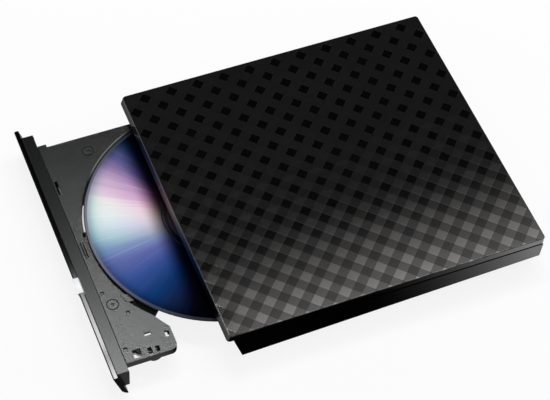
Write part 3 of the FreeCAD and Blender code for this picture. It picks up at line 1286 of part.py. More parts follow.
# Every piece by its name, with how far it has slid out with the tray
FIXED = [top_cover, lower_housing, rubber_feet, housing_screws, drive_pan, drive_lid, lid_screws, drive_screws,
         guide_left, guide_right, latch_post, main_board, board_chips, drive_connector, bridge_connector,
         bridge_board, bridge_chips, bridge_screws, usb_socket, flex_cable]
HALF_OUT = [rail_left, rail_right]
FULLY_OUT = [tray, bezel_plate, bezel_body, bezel_screws, eject_button, button_board, eject_switch, activity_led,
             tray_bottom_cover, tray_cover_screws, guide_roller, latch_lever, latch_spring, latch_solenoid,
             unit_frame, dampers, damper_screws, guide_rods, motor_base, stator, spindle_rotor, rotor_magnet,
             turntable, turntable_pad, hub_jaws, disc, laser_sled, screw_follower, lens_base, lens_holder,
             objective_lens, sled_motor, lead_screw, screw_bearing]

BUTTON_FRONT = FRONT + BEZEL_SET_BACK - BUTTON_PROUD - TRAY_OUT
MIDDLE = (BUTTON_FRONT + REAR) / 2

os.makedirs("parts", exist_ok=True)
for makers, distance in ((FIXED, 0.0), (HALF_OUT, TRAY_OUT / 2), (FULLY_OUT, TRAY_OUT)):
    for maker in makers:
        shape = slid_out(maker(), distance + MIDDLE)
        shape.exportStep("parts/" + maker.__name__ + ".step")
        print(maker.__name__, len(shape.Solids), shape.isValid(), round(shape.Volume, 1))
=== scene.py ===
import math

import bmesh
import bpy
from mathutils import Matrix, Vector


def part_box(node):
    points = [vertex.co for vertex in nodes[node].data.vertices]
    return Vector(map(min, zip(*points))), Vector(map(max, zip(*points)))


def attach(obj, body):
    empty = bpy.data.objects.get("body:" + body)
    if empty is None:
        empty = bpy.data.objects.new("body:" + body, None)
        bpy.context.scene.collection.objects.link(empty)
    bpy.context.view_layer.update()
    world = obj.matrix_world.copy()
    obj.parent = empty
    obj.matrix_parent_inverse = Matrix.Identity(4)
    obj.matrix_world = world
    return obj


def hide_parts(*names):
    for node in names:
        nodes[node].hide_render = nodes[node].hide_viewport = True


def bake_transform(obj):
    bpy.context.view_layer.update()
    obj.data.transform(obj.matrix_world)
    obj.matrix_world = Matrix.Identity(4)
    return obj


# Camera and lamps, in metres, degrees and millimetres of lens
CAMERA_PLACE = (0.46614, -0.22245, 0.7172)
CAMERA_AIM = (0.00248, -0.00072, 0.01028)
CAMERA_ROLL = 4.57
CAMERA_LENS = 123.25
CAMERA_SENSOR = 36.0
FLOOR_SIZE = 12.0
LAMP_HEIGHT = 1.0
LAMP_FADE_POWER = 1.5
SOFTBOX_LEFT = -0.32
SOFTBOX_RIGHT = -0.08
SOFTBOX_MIDDLE_Y = 0.51
SOFTBOX_DEPTH = 0.62
SOFTBOX_LEVEL = 6.0
FEATHER_WIDTH = 0.27
FEATHER_STRIPS = 14
STRIP_LEFT = -0.615
STRIP_WIDTH = 0.14
STRIP_MIDDLE_Y = 0.066
STRIP_DEPTH = 0.045
STRIP_PARTS = 5
STRIP_LEVELS = (5.0, 27.0)
CARD_LEFT = -0.49
CARD_RIGHT = -0.32
CARD_MIDDLE_Y = 0.0
CARD_DEPTH = 0.30
CARD_LEVEL = 20.0
CARD_FEATHER = 0.03
CARD_STRIPS = 2
WORLD_LEVEL = 0.60
WORLD_DARK_LEVEL = 0.005
FLOOR_DARK_FROM = -0.066
FLOOR_DARK_TO = 0.010
FLOOR_PALE_FROM = 0.105
FLOOR_FRONT_LEVEL = 0.4
FLOOR_FRONT_FADE = 0.01
FLOOR_REAR_POWER = 3.0
FLOOR_OWN_GLOW = 0.85

# Places on the drive, in metres and degrees. A pair is where a soft edge starts and ends.
DISC_CENTRE = (0.0, -0.0295, 0.012)
COVER_TOP = 0.021
COVER_ARRIS_Y = -0.0499
PLATE_TOP = 0.017
BAND_SPACING = 0.0094
GROOVE_REACH = 0.0010
SEAM_Y = -0.095
SEAM_LOW = (0.0125, 0.0129)
SEAM_EDGE = (0.00015, 0.0004)
RECESS_RIM = 0.0609
# Where the painted highlight line on the recess's rim lies.
RIM_LINE_EDGE = (0.00020, 0.00042)
RIM_LINE_STARTS = (-162.0, -152.0)
RIM_LINE_ENDS = (-134.0, -124.0)
# The pale strip on the recess's rim below is a painted highlight, not a part of the drive.
GLINT_INSIDE = 0.0603
GLINT_START_WIDTH = 0.0004
GLINT_END_WIDTH = 0.0010
GLINT_DEPTH = 0.0010
GLINT_TOP = 0.0132
GLINT_START = 247.0
GLINT_END = 262.3
GLINT_BEVEL = 0.00008
CABLE_LEFT = -0.038
CABLE_RIGHT = -0.026
CABLE_THICK = 0.00012
CABLE_LOWER = 0.00488
CABLE_UPPER = 0.00514
CABLE_BEND = 0.01216
CABLE_OVERLAP = 0.0040
CABLE_CROSSING = (-0.0333, -0.0213)
BEND_STEPS = 8
RUN_STEPS = 60

# The disc's radii in metres, and its colours by their place on the fan of light. The fan's colours, its
# tints and the clear rim's colours are painted reflection: the rainbow sheen that the lamps would raise
# on the disc.
HUB_EDGE = (0.0222, 0.0226)
STACK_RING = 0.0248
RING_EDGE = (0.0002, 0.0004)
FAN_MIDDLE = 0.046
FAN_SHADE = (0.0228, 0.0328)
TINT_FROM = 0.028
TINT_TO = 0.060
CLEAR_RIM = (0.0585, 0.0590)
FAN_COLOURS = [
    (0.00, (0.001, 0.003, 0.008)),
    (0.055, (0.005, 0.021, 0.062)),
    (0.085, (0.019, 0.048, 0.144)),
    (0.110, (0.123, 0.110, 0.288)),
    (0.128, (0.329, 0.219, 0.411)),
    (0.142, (0.521, 0.356, 0.562)),
    (0.165, (0.740, 0.548, 0.712)),
    (0.182, (0.836, 0.795, 0.808)),
    (0.205, (0.767, 0.836, 0.822)),
    (0.225, (0.630, 0.740, 0.808)),
    (0.250, (0.356, 0.521, 0.603)),
    (0.265, (0.206, 0.301, 0.493)),
    (0.290, (0.110, 0.137, 0.370)),
    (0.325, (0.034, 0.075, 0.274)),
    (0.361, (0.005, 0.036, 0.144)),
    (0.395, (0.005, 0.012, 0.048)),
    (0.420, (0.001, 0.001, 0.005)),
    (0.560, (0.001, 0.003, 0.008)),
    (0.620, (0.069, 0.069, 0.219)),
    (0.680, (0.685, 0.575, 0.754)),
    (0.720, (0.411, 0.575, 0.658)),
    (0.790, (0.041, 0.082, 0.274)),
    (0.900, (0.001, 0.003, 0.008)),
]
OUTER_TINTS = [
    (0.72, (1.0, 1.0, 1.0)),
    (0.81, (0.90, 0.96, 0.94)),
    (0.87, (0.72, 0.85, 0.83)),
    (0.94, (0.46, 0.55, 0.58)),
]
INNER_TINTS = [
    (0.00, (0.90, 0.64, 0.68)),
    (0.12, (1.00, 0.78, 0.88)),
    (0.25, (1.00, 0.85, 0.95)),
    (0.38, (1.00, 0.91, 0.98)),
    (0.60, (1.00, 1.00, 1.00)),
]
RIM_COLOURS = [
    (0.05, (0.004, 0.005, 0.007)),
    (0.111, (0.084, 0.090, 0.132)),
    (0.194, (0.156, 0.180, 0.216)),
    (0.250, (0.156, 0.180, 0.228)),
    (0.306, (0.108, 0.120, 0.168)),
    (0.361, (0.054, 0.060, 0.090)),
    (0.420, (0.022, 0.024, 0.036)),
    (0.60, (0.060, 0.060, 0.084)),
    (0.90, (0.024, 0.024, 0.036)),
]

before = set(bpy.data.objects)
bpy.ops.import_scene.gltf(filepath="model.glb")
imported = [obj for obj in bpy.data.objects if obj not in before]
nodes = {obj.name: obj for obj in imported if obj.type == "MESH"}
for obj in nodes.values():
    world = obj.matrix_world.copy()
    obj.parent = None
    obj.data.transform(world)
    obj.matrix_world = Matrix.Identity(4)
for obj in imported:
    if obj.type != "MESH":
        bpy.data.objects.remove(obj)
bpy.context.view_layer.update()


# Putting materials together
def start_material(name):
    made = bpy.data.materials.new(name)
    made.use_nodes = True
    tree = made.node_tree
    return made, tree, tree.nodes["Principled BSDF"]


def add(tree, kind, values=None, **settings):
    made = tree.nodes.new(kind)
    for name, value in settings.items():
        setattr(made, name, value)
    for name, value in (values or {}).items():
        made.inputs[name].default_value = value
    return made


def connect(tree, source, target):
    tree.links.new(source, target)


def object_place(tree):
    return add(tree, "ShaderNodeTexCoord").outputs["Object"]


def math_step(tree, operation, first, second=None, clamp=False):
    made = add(tree, "ShaderNodeMath", operation=operation, use_clamp=clamp)
    for index, value in enumerate((first, second)):
        if value is None:
            continue
        if isinstance(value, (int, float)):
            made.inputs[index].default_value = value
        else:
            connect(tree, value, made.inputs[index])
    return made.outputs[0]


def between(tree, value, low, high, out_low=0.0, out_high=1.0, smooth=True):
    """Takes value from the range low to high into the range out_low to out_high."""
    made = add(tree, "ShaderNodeMapRange")
    made.interpolation_type = "SMOOTHSTEP" if smooth else "LINEAR"
    made.inputs["From Min"].default_value = low
    made.inputs["From Max"].default_value = high
    made.inputs["To Min"].default_value = out_low
    made.inputs["To Max"].default_value = out_high
    connect(tree, value, made.inputs["Value"])
    return made.outputs["Result"]


def blend_colours(tree, factor, first, second, kind="MIX"):
    made = add(tree, "ShaderNodeMix", data_type="RGBA", blend_type=kind)
    sockets = [made.inputs[0], made.inputs[6], made.inputs[7]]
    for socket, value in zip(sockets, (factor, first, second)):
        if hasattr(value, "is_output"):
            connect(tree, value, socket)
        else:
            socket.default_value = value
    return made.outputs[2]


def grey(value):
    return (value, value, value, 1.0)


def times(colour, factor):
    return tuple(factor * part for part in colour) + (1.0,)


def split_place(tree):
    parts = add(tree, "ShaderNodeSeparateXYZ")
    connect(tree, object_place(tree), parts.inputs[0])
    return parts.outputs


def near_line(tree, value, place, edge):
    """Mask that is 1 where value is close to place, and fades out over edge."""
    away = math_step(tree, "ABSOLUTE", math_step(tree, "SUBTRACT", value, place))
    return between(tree, away, *edge, 1.0, 0.0)


def ramp(tree, value, stops):
    """Colour along a value, from stops of place and colour."""
    made = add(tree, "ShaderNodeValToRGB")
    points = made.color_ramp.elements
    while len(points) < len(stops):
        points.new(0.5)
    for point, (place, colour) in zip(points, stops):
        point.position = place
        point.color = (*colour, 1.0)
    connect(tree, value, made.inputs["Fac"])
    return made.outputs["Color"]


def start_group(name, inputs, outputs):
    made = bpy.data.node_groups.new(name, "ShaderNodeTree")
    for label, kind, value in inputs:
        socket = made.interface.new_socket(label, in_out="INPUT", socket_type=kind)
        if value is not None:
            socket.default_value = value
    for label in outputs:
        made.interface.new_socket(label, in_out="OUTPUT", socket_type="NodeSocketFloat")
    enter = made.nodes.new("NodeGroupInput")
    leave = made.nodes.new("NodeGroupOutput")
    return made, enter, leave


def place_group(tree, group, values=None):
    """Puts a shared effect into a material, fed with the object's own coordinates."""
    made = tree.nodes.new("ShaderNodeGroup")
    made.node_tree = group
    connect(tree, object_place(tree), made.inputs["Place"])
    for name, value in (values or {}).items():
        made.inputs[name].default_value = value
    return made


def bump(tree, shader, height, strength, distance):
    made = add(tree, "ShaderNodeBump", {"Strength": strength, "Distance": distance})
    connect(tree, height, made.inputs["Height"])
    connect(tree, made.outputs["Normal"], shader.inputs["Normal"])


# Effects that several materials share
def make_spark_grain():
    """Fine moulded grain, as a height and as flecks."""
    group, enter, leave = start_group(
        "spark_grain",
        [("Place", "NodeSocketVector", None), ("Per Metre", "NodeSocketFloat", 2500.0)],
        ["Height", "Fleck"],
    )
    coarse = add(group, "ShaderNodeTexNoise", {"Detail": 2.0, "Roughness": 0.5})
    fine = add(group, "ShaderNodeTexVoronoi")
    double = math_step(group, "MULTIPLY", enter.outputs["Per Metre"], 1.7)
    connect(group, enter.outputs["Place"], coarse.inputs["Vector"])
    connect(group, enter.outputs["Place"], fine.inputs["Vector"])
    connect(group, enter.outputs["Per Metre"], coarse.inputs["Scale"])
    connect(group, double, fine.inputs["Scale"])
    both = math_step(group, "MULTIPLY", coarse.outputs["Fac"], fine.outputs["Distance"])
    connect(group, both, leave.inputs["Height"])
    fleck = between(group, coarse.outputs["Fac"], 0.42, 0.62)
    connect(group, fleck, leave.inputs["Fleck"])
    return group


def make_drift():
    """Slow change from place to place."""
    group, enter, leave = start_group(
        "drift",
        [("Place", "NodeSocketVector", None), ("Per Metre", "NodeSocketFloat", 30.0)],
        ["Amount"],
    )
    cloud = add(group, "ShaderNodeTexNoise", {"Detail": 4.0, "Roughness": 0.55})
    connect(group, enter.outputs["Place"], cloud.inputs["Vector"])
    connect(group, enter.outputs["Per Metre"], cloud.inputs["Scale"])
    connect(group, between(group, cloud.outputs["Fac"], 0.3, 0.7), leave.inputs["Amount"])
    return group


def make_hairlines():
    """Noise drawn out into fine lines."""
    group, enter, leave = start_group(
        "hairlines",
        [
            ("Place", "NodeSocketVector", None),
            ("Per Metre", "NodeSocketFloat", 900.0),
            ("Stretch", "NodeSocketVector", (1.0, 0.02, 1.0)),
        ],
        ["Amount"],
    )
    stretched = add(group, "ShaderNodeVectorMath", operation="MULTIPLY")
    connect(group, enter.outputs["Place"], stretched.inputs[0])
    connect(group, enter.outputs["Stretch"], stretched.inputs[1])
    lines = add(group, "ShaderNodeTexNoise", {"Detail": 5.0, "Roughness": 0.7})
    connect(group, stretched.outputs[0], lines.inputs["Vector"])
    connect(group, enter.outputs["Per Metre"], lines.inputs["Scale"])
    connect(group, lines.outputs["Fac"], leave.inputs["Amount"])
    return group


def make_dust():
    """Small specks that lie in patches."""
    group, enter, leave = start_group(
        "dust",
        [("Place", "NodeSocketVector", None), ("Per Metre", "NodeSocketFloat", 900.0)],
        ["Specks"],
    )
    cells = add(group, "ShaderNodeTexVoronoi")
    patches = add(group, "ShaderNodeTexNoise", {"Scale": 60.0, "Detail": 2.0})
    connect(group, enter.outputs["Place"], cells.inputs["Vector"])
    connect(group, enter.outputs["Place"], patches.inputs["Vector"])
    connect(group, enter.outputs["Per Metre"], cells.inputs["Scale"])
    speck = between(group, cells.outputs["Distance"], 0.02, 0.09, 1.0, 0.0)
    patch = between(group, patches.outputs["Fac"], 0.5, 0.7)
    connect(group, math_step(group, "MULTIPLY", speck, patch), leave.inputs["Specks"])
    return group


def make_crossing_bands():
    """Two sets of even bands at right angles, turned about Z."""
    group, enter, leave = start_group(
        "crossing_bands",
        [
            ("Place", "NodeSocketVector", None),
            ("Spacing", "NodeSocketFloat", 0.012),
            ("Share", "NodeSocketFloat", 0.5),
            ("Turn", "NodeSocketFloat", 45.0),
        ],
        ["Along", "Across"],
    )
    turned = add(group, "ShaderNodeVectorRotate", rotation_type="Z_AXIS")
    angle = math_step(group, "RADIANS", enter.outputs["Turn"])
    connect(group, enter.outputs["Place"], turned.inputs["Vector"])
    connect(group, angle, turned.inputs["Angle"])
    parts = add(group, "ShaderNodeSeparateXYZ")
    connect(group, turned.outputs["Vector"], parts.inputs[0])
    for axis, name in (("X", "Along"), ("Y", "Across")):
        steps = math_step(group, "DIVIDE", parts.outputs[axis], enter.outputs["Spacing"])
        turn = math_step(group, "FRACT", steps)
        fold = math_step(group, "PINGPONG", turn, 0.5)
        edge = math_step(group, "MULTIPLY", enter.outputs["Share"], 0.5)
        over = math_step(group, "SUBTRACT", fold, edge)
        connect(group, between(group, over, -0.012, 0.012), leave.inputs[name])
    return group


SPARK_GRAIN = make_spark_grain()
DRIFT = make_drift()
HAIRLINES = make_hairlines()
DUST = make_dust()
CROSSING_BANDS = make_crossing_bands()


# Materials of the housing
def gloss_black(name, colour, roughness, specular):
    """Black gloss with a faint drift, a little dust and fine hairs."""
    made, tree, shader = start_material(name)
    drift = place_group(tree, DRIFT, {"Per Metre": 55.0}).outputs["Amount"]
    dust = place_group(tree, DUST, {"Per Metre": 700.0}).outputs["Specks"]
    hairs = place_group(tree, HAIRLINES, {"Per Metre": 500.0}).outputs["Amount"]
    base = blend_colours(tree, drift, (*colour, 1.0), times(colour, 1.25))
    base = blend_colours(tree, math_step(tree, "MULTIPLY", dust, 0.25), base, grey(0.12))
    connect(tree, base, shader.inputs["Base Color"])
    rough = between(tree, hairs, 0.35, 0.75, roughness * 0.85, roughness * 1.2)
    connect(tree, rough, shader.inputs["Roughness"])
    shader.inputs["Specular IOR Level"].default_value = specular
    return made


def cover_gloss():
    """Clear gloss over a printed gingham on top, with a painted highlight line along the front arris, and
    plain black gloss on the sides.
    """
    made, tree, shader = start_material("cover_gloss")
    place = split_place(tree)
    on_top = between(tree, place["Z"], COVER_TOP - 0.0004, COVER_TOP - 0.0001)
    bands = place_group(tree, CROSSING_BANDS, {"Spacing": BAND_SPACING, "Share": 0.5, "Turn": 45.0})
    both = math_step(tree, "ADD", bands.outputs["Along"], bands.outputs["Across"])
    weave = math_step(tree, "MULTIPLY", both, 0.5)
    weave = math_step(tree, "MULTIPLY", weave, on_top)
    drift = place_group(tree, DRIFT, {"Per Metre": 40.0}).outputs["Amount"]
    dust = place_group(tree, DUST, {"Per Metre": 500.0}).outputs["Specks"]
    hairs = place_group(tree, HAIRLINES, {"Per Metre": 400.0}).outputs["Amount"]
    base = blend_colours(tree, weave, grey(0.0012), (0.138, 0.134, 0.131, 1.0))
    base = blend_colours(tree, math_step(tree, "MULTIPLY", drift, 0.12), base, grey(0.006))
    base = blend_colours(tree, math_step(tree, "MULTIPLY", dust, 0.1), base, grey(0.05))
    # Painted highlight: a thin pale line in the base colour along the cover's top front arris.
    painted_arris_highlight = near_line(tree, place["Y"], COVER_ARRIS_Y, (0.00006, 0.00018))
    high = between(tree, place["Z"], COVER_TOP - 0.0006, COVER_TOP - 0.0004)
    base = blend_colours(tree, math_step(tree, "MULTIPLY", painted_arris_highlight, high), base, (0.15, 0.16, 0.15, 1.0))
    connect(tree, base, shader.inputs["Base Color"])
    rough = between(tree, weave, 0.0, 1.0, 0.075, 0.095, smooth=False)
    rough = math_step(tree, "ADD", rough, between(tree, hairs, 0.4, 0.8, 0.0, 0.02))
    connect(tree, rough, shader.inputs["Roughness"])
    connect(tree, between(tree, weave, 0.0, 0.6, 0.0, 0.95), shader.inputs["Metallic"])
    shader.inputs["Specular IOR Level"].default_value = 0.45
    connect(tree, math_step(tree, "SUBTRACT", 1.0, on_top), shader.inputs["Coat Weight"])
    shader.inputs["Coat Roughness"].default_value = 0.08
    bump(tree, shader, weave, 0.15, 0.00005)
    return made


def housing_gloss():
    return gloss_black("housing_gloss", (0.0010, 0.0010, 0.0011), 0.12, 0.95)


def plate_gloss():
    """Gloss black with a polished top edge."""
    made = gloss_black("plate_gloss", (0.0015, 0.0015, 0.0017), 0.10, 0.02)
    tree = made.node_tree
    shader = tree.nodes["Principled BSDF"]
    on_top = between(tree, split_place(tree)["Z"], PLATE_TOP - 0.0001, PLATE_TOP - 0.00002)
    connect(tree, on_top, shader.inputs["Coat Weight"])
    shader.inputs["Coat Roughness"].default_value = 0.07
    return made


def moulded(name, colour, roughness, grain=2200.0, depth=0.00004, fleck=0.35, strength=0.6, specular=0.5,
            spot=2.4):
    """Moulded plastic or rubber with a spark-eroded grain and lighter flecks."""
    made, tree, shader = start_material(name)
    texture = place_group(tree, SPARK_GRAIN, {"Per Metre": grain})
    drift = place_group(tree, DRIFT, {"Per Metre": 70.0}).outputs["Amount"]
    base = blend_colours(tree, drift, times(colour, 0.82), times(colour, 1.18))
    spots = math_step(tree, "MULTIPLY", texture.outputs["Fleck"], fleck)
    base = blend_colours(tree, spots, base, times(colour, spot))
    connect(tree, base, shader.inputs["Base Color"])
    rough = between(tree, texture.outputs["Fleck"], 0.0, 1.0, roughness * (1.0 + 0.35 * fleck), roughness)
    connect(tree, rough, shader.inputs["Roughness"])
    shader.inputs["Specular IOR Level"].default_value = specular
    bump(tree, shader, texture.outputs["Height"], strength, depth)
    return made


def brushed(name, colour, roughness, stretch):
    """Metal with fine hairs, drawn out along the axis whose stretch is smallest."""
    made, tree, shader = start_material(name)
    hairs = place_group(tree, HAIRLINES, {"Per Metre": 1200.0, "Stretch": stretch}).outputs["Amount"]
    drift = place_group(tree, DRIFT, {"Per Metre": 90.0}).outputs["Amount"]
    dark = times(colour, 0.8)
    base = blend_colours(tree, hairs, dark, (*colour, 1.0))
    base = blend_colours(tree, math_step(tree, "MULTIPLY", drift, 0.25), base, dark)
    connect(tree, base, shader.inputs["Base Color"])
    rough = between(tree, hairs, 0.25, 0.75, roughness * 0.75, roughness * 1.3)
    connect(tree, rough, shader.inputs["Roughness"])
    shader.inputs["Metallic"].default_value = 1.0
    bump(tree, shader, hairs, 0.12, 0.00003)
    return made


def with_painted_joint_shade(made, tint):
    """Paints shade into grooves found by ambient occlusion and a painted shadow line where the bezel's
    body meets the tray, and tints the sheen.
    """
    tree = made.node_tree
    shader = tree.nodes["Principled BSDF"]
    place = split_place(tree)
    # Painted shadow line along the seam between the bezel's body and the tray.
    line = near_line(tree, place["Y"], SEAM_Y, SEAM_EDGE)
    line = math_step(tree, "MULTIPLY", line, between(tree, place["Z"], *SEAM_LOW))
    # Painted shade in grooves and recesses, from ambient occlusion.
    open_sky = add(tree, "ShaderNodeAmbientOcclusion", {"Distance": GROOVE_REACH}, samples=16)
    groove_shade = between(tree, open_sky.outputs["AO"], 0.45, 0.85, 1.0, 0.0)
    dark = math_step(tree, "MAXIMUM", line, groove_shade)
    base = shader.inputs["Base Color"].links[0].from_socket
    rough = shader.inputs["Roughness"].links[0].from_socket
    connect(tree, blend_colours(tree, dark, base, grey(0.0005)), shader.inputs["Base Color"])
    connect(tree, math_step(tree, "MAXIMUM", rough, dark), shader.inputs["Roughness"])
    shader.inputs["Specular Tint"].default_value = tint
    return made


def bezel_matt():
    made = moulded("bezel_matt", (0.0036, 0.0041, 0.0038), 0.195, 3500.0, 0.00001, 0.1, 0.04, 0.31)
    return with_painted_joint_shade(made, (0.95, 1.0, 0.97, 1.0))


def tray_matt():
    """Grained plastic with a painted highlight: a lighter line along part of the recess's rim."""
    made = moulded("tray_matt", (0.0040, 0.0045, 0.0042), 0.17, 1300.0, 0.00013, 0.9, 0.50, 0.42, 3.0)
    with_painted_joint_shade(made, (0.97, 1.0, 0.98, 1.0))
    tree = made.node_tree
    shader = tree.nodes["Principled BSDF"]
    radius, degrees, _ = around_hub(tree)
    # Painted highlight: a lighter line in the base colour along part of the recess's rim.
    painted_rim_highlight = near_line(tree, radius, RECESS_RIM, RIM_LINE_EDGE)
    starts = between(tree, degrees, *RIM_LINE_STARTS)
    ends = between(tree, degrees, *RIM_LINE_ENDS, 1.0, 0.0)
    painted_rim_highlight = math_step(tree, "MULTIPLY", painted_rim_highlight, math_step(tree, "MULTIPLY", starts, ends))
    base = shader.inputs["Base Color"].links[0].from_socket
    connect(tree, blend_colours(tree, painted_rim_highlight, base, grey(0.21)), shader.inputs["Base Color"])
    return made


def button_light():
    return moulded("button_light", (0.78, 0.80, 0.82), 0.35, 3000.0, 0.00001, 0.1, 0.2)


def lamp_clear():
    made, tree, shader = start_material("lamp_clear")
    drift = place_group(tree, DRIFT, {"Per Metre": 900.0}).outputs["Amount"]
    base = blend_colours(tree, drift, (0.75, 0.82, 0.86, 1.0), (0.9, 0.94, 0.97, 1.0))
    connect(tree, base, shader.inputs["Base Color"])
    connect(tree, between(tree, drift, 0.0, 1.0, 0.05, 0.15), shader.inputs["Roughness"])
    shader.inputs["Transmission Weight"].default_value = 0.85
    shader.inputs["IOR"].default_value = 1.49
    return made


def lens_glass():
    made, tree, shader = start_material("lens_glass")
    drift = place_group(tree, DRIFT, {"Per Metre": 1200.0}).outputs["Amount"]
    base = blend_colours(tree, drift, (0.55, 0.72, 0.95, 1.0), (0.70, 0.60, 0.95, 1.0))
    connect(tree, base, shader.inputs["Base Color"])
    connect(tree, between(tree, drift, 0.0, 1.0, 0.02, 0.06), shader.inputs["Roughness"])
    shader.inputs["Transmission Weight"].default_value = 0.9
    shader.inputs["IOR"].default_value = 1.6
    shader.inputs["Coat Weight"].default_value = 0.6
    return made


def around_hub(tree):
    """Distance from the disc's middle, angle in degrees, and place along Y."""
    place = object_place(tree)
    centred = add(tree, "ShaderNodeVectorMath", operation="SUBTRACT")
    centred.inputs[1].default_value = DISC_CENTRE
    connect(tree, place, centred.inputs[0])
    parts = add(tree, "ShaderNodeSeparateXYZ")
    connect(tree, centred.outputs[0], parts.inputs[0])
    x = parts.outputs["X"]
    y = parts.outputs["Y"]
    squares = math_step(tree, "ADD", math_step(tree, "MULTIPLY", x, x), math_step(tree, "MULTIPLY", y, y))
    radius = math_step(tree, "SQRT", squares)
    angle = math_step(tree, "ARCTAN2", y, x)
    degrees = math_step(tree, "DEGREES", angle)
    return radius, degrees, y


def fan_streaks(tree, radius, turn):
    """Noise that runs outwards in rays."""
    place = add(tree, "ShaderNodeCombineXYZ")
    connect(tree, math_step(tree, "MULTIPLY", turn, 130.0), place.inputs["X"])
    connect(tree, math_step(tree, "MULTIPLY", radius, 9.0), place.inputs["Y"])
    streaks = add(tree, "ShaderNodeTexNoise", {"Scale": 1.0, "Detail": 4.0, "Roughness": 0.65})
    connect(tree, place.outputs[0], streaks.inputs["Vector"])
    return streaks.outputs["Fac"]


def fan_of_light(tree, radius, turn, across, streaks):
    """Painted rainbow reflection in a fan that spreads from the hub, dark along the middle from a painted
    shadow of the cover, and tinted at both ends.
    """
    wander = between(tree, streaks, 0.25, 0.75, -0.0055, 0.0055, smooth=False)
    drawn_out = math_step(tree, "MULTIPLY", math_step(tree, "SUBTRACT", radius, FAN_MIDDLE), 0.7)
    place_on_fan = math_step(tree, "ADD", math_step(tree, "ADD", turn, wander), drawn_out)
    # Painted reflection: the rainbow colours of the fan.
    fan = ramp(tree, place_on_fan, FAN_COLOURS)
    # Painted highlight streaks in the fan.
    gleam = between(tree, streaks, 0.56, 0.68, 0.0, 0.45)
    fan = blend_colours(tree, gleam, fan, (0.98, 0.84, 0.93, 1.0), "SOFT_LIGHT")
    # Painted shadow of the cover: dark where the disc lies within FAN_SHADE of the hub in Y.
    painted_cover_shadow = between(tree, math_step(tree, "ABSOLUTE", across), *FAN_SHADE, 0.98, 0.0)
    fan = blend_colours(tree, painted_cover_shadow, fan, (0.0008, 0.0010, 0.0030, 1.0))
    outwards = between(tree, radius, TINT_FROM, TINT_TO, smooth=False)
    fan = blend_colours(tree, 1.0, fan, ramp(tree, outwards, OUTER_TINTS), "MULTIPLY")
    near_white = between(tree, turn, 0.255, 0.285, 1.0, 0.2)
    return blend_colours(tree, near_white, fan, ramp(tree, outwards, INNER_TINTS), "MULTIPLY")


def disc_silver():
    """The disc's written side: the fan of painted reflection, the clear rim with painted reflection by
    angle, the clear middle and its moulded ring.
    """
    made, tree, shader = start_material("disc_silver")
    radius, degrees, across = around_hub(tree)
    turn = math_step(tree, "ADD", math_step(tree, "MULTIPLY", degrees, 1.0 / 360.0), 0.5)
    streaks = fan_streaks(tree, radius, turn)
    base = fan_of_light(tree, radius, turn, across, streaks)
    # Painted reflection on the clear rim, by angle round the hub.
    base = blend_colours(tree, between(tree, radius, *CLEAR_RIM), base, ramp(tree, turn, RIM_COLOURS))
    hub_zone = between(tree, radius, *HUB_EDGE, 1.0, 0.0)
    base = blend_colours(tree, hub_zone, base, (0.034, 0.030, 0.038, 1.0))
    ring_line = near_line(tree, radius, STACK_RING, RING_EDGE)
    base = blend_colours(tree, ring_line, base, (0.012, 0.012, 0.020, 1.0))
    connect(tree, base, shader.inputs["Base Color"])
    connect(tree, between(tree, streaks, 0.2, 0.8, 0.24, 0.34), shader.inputs["Roughness"])
    shader.inputs["Metallic"].default_value = 0.05
    shader.inputs["Specular IOR Level"].default_value = 0.0
    shader.inputs["Coat Weight"].default_value = 0.35
    shader.inputs["Coat Roughness"].default_value = 0.03
    grooves = add(tree, "ShaderNodeTexNoise", {"Scale": 1.0, "Detail": 2.0})
    groove_place = add(tree, "ShaderNodeCombineXYZ")
    connect(tree, math_step(tree, "MULTIPLY", radius, 9000.0), groove_place.inputs["X"])
    connect(tree, groove_place.outputs[0], grooves.inputs["Vector"])
    bump(tree, shader, grooves.outputs["Fac"], 0.05, 0.00002)
    return made


def board_green():
    """Circuit board with tracks and bare pads."""
    made, tree, shader = start_material("board_green")
    place = object_place(tree)
    tracks = add(tree, "ShaderNodeTexBrick", {"Scale": 260.0, "Mortar Size": 0.03, "Bias": -0.3})
    tracks.inputs["Color1"].default_value = (0.010, 0.075, 0.030, 1.0)
    tracks.inputs["Color2"].default_value = (0.014, 0.100, 0.042, 1.0)
    tracks.inputs["Mortar"].default_value = (0.030, 0.160, 0.070, 1.0)
    connect(tree, place, tracks.inputs["Vector"])
    pads = add(tree, "ShaderNodeTexVoronoi", {"Scale": 420.0})
    connect(tree, place, pads.inputs["Vector"])
    pad = between(tree, pads.outputs["Distance"], 0.14, 0.18, 1.0, 0.0)
    base = blend_colours(tree, pad, tracks.outputs["Color"], (0.55, 0.52, 0.42, 1.0))
    connect(tree, base, shader.inputs["Base Color"])
    connect(tree, between(tree, pad, 0.0, 1.0, 0.38, 0.25), shader.inputs["Roughness"])
    connect(tree, math_step(tree, "MULTIPLY", pad, 0.9), shader.inputs["Metallic"])
    bump(tree, shader, tracks.outputs["Fac"], 0.2, 0.00003)
    return made


def coil_copper():
    """Enamelled wire wound in turns."""
    made, tree, shader = start_material("coil_copper")
    turns = add(tree, "ShaderNodeTexWave", {"Scale": 900.0, "Distortion": 1.5, "Detail": 2.0})
    turns.bands_direction = "Z"
    connect(tree, object_place(tree), turns.inputs["Vector"])
    base = blend_colours(tree, turns.outputs["Fac"], (0.35, 0.12, 0.05, 1.0), (0.85, 0.40, 0.20, 1.0))
    connect(tree, base, shader.inputs["Base Color"])
    shader.inputs["Metallic"].default_value = 1.0
    connect(tree, between(tree, turns.outputs["Fac"], 0.0, 1.0, 0.5, 0.28), shader.inputs["Roughness"])
    bump(tree, shader, turns.outputs["Fac"], 0.5, 0.0001)
    return made


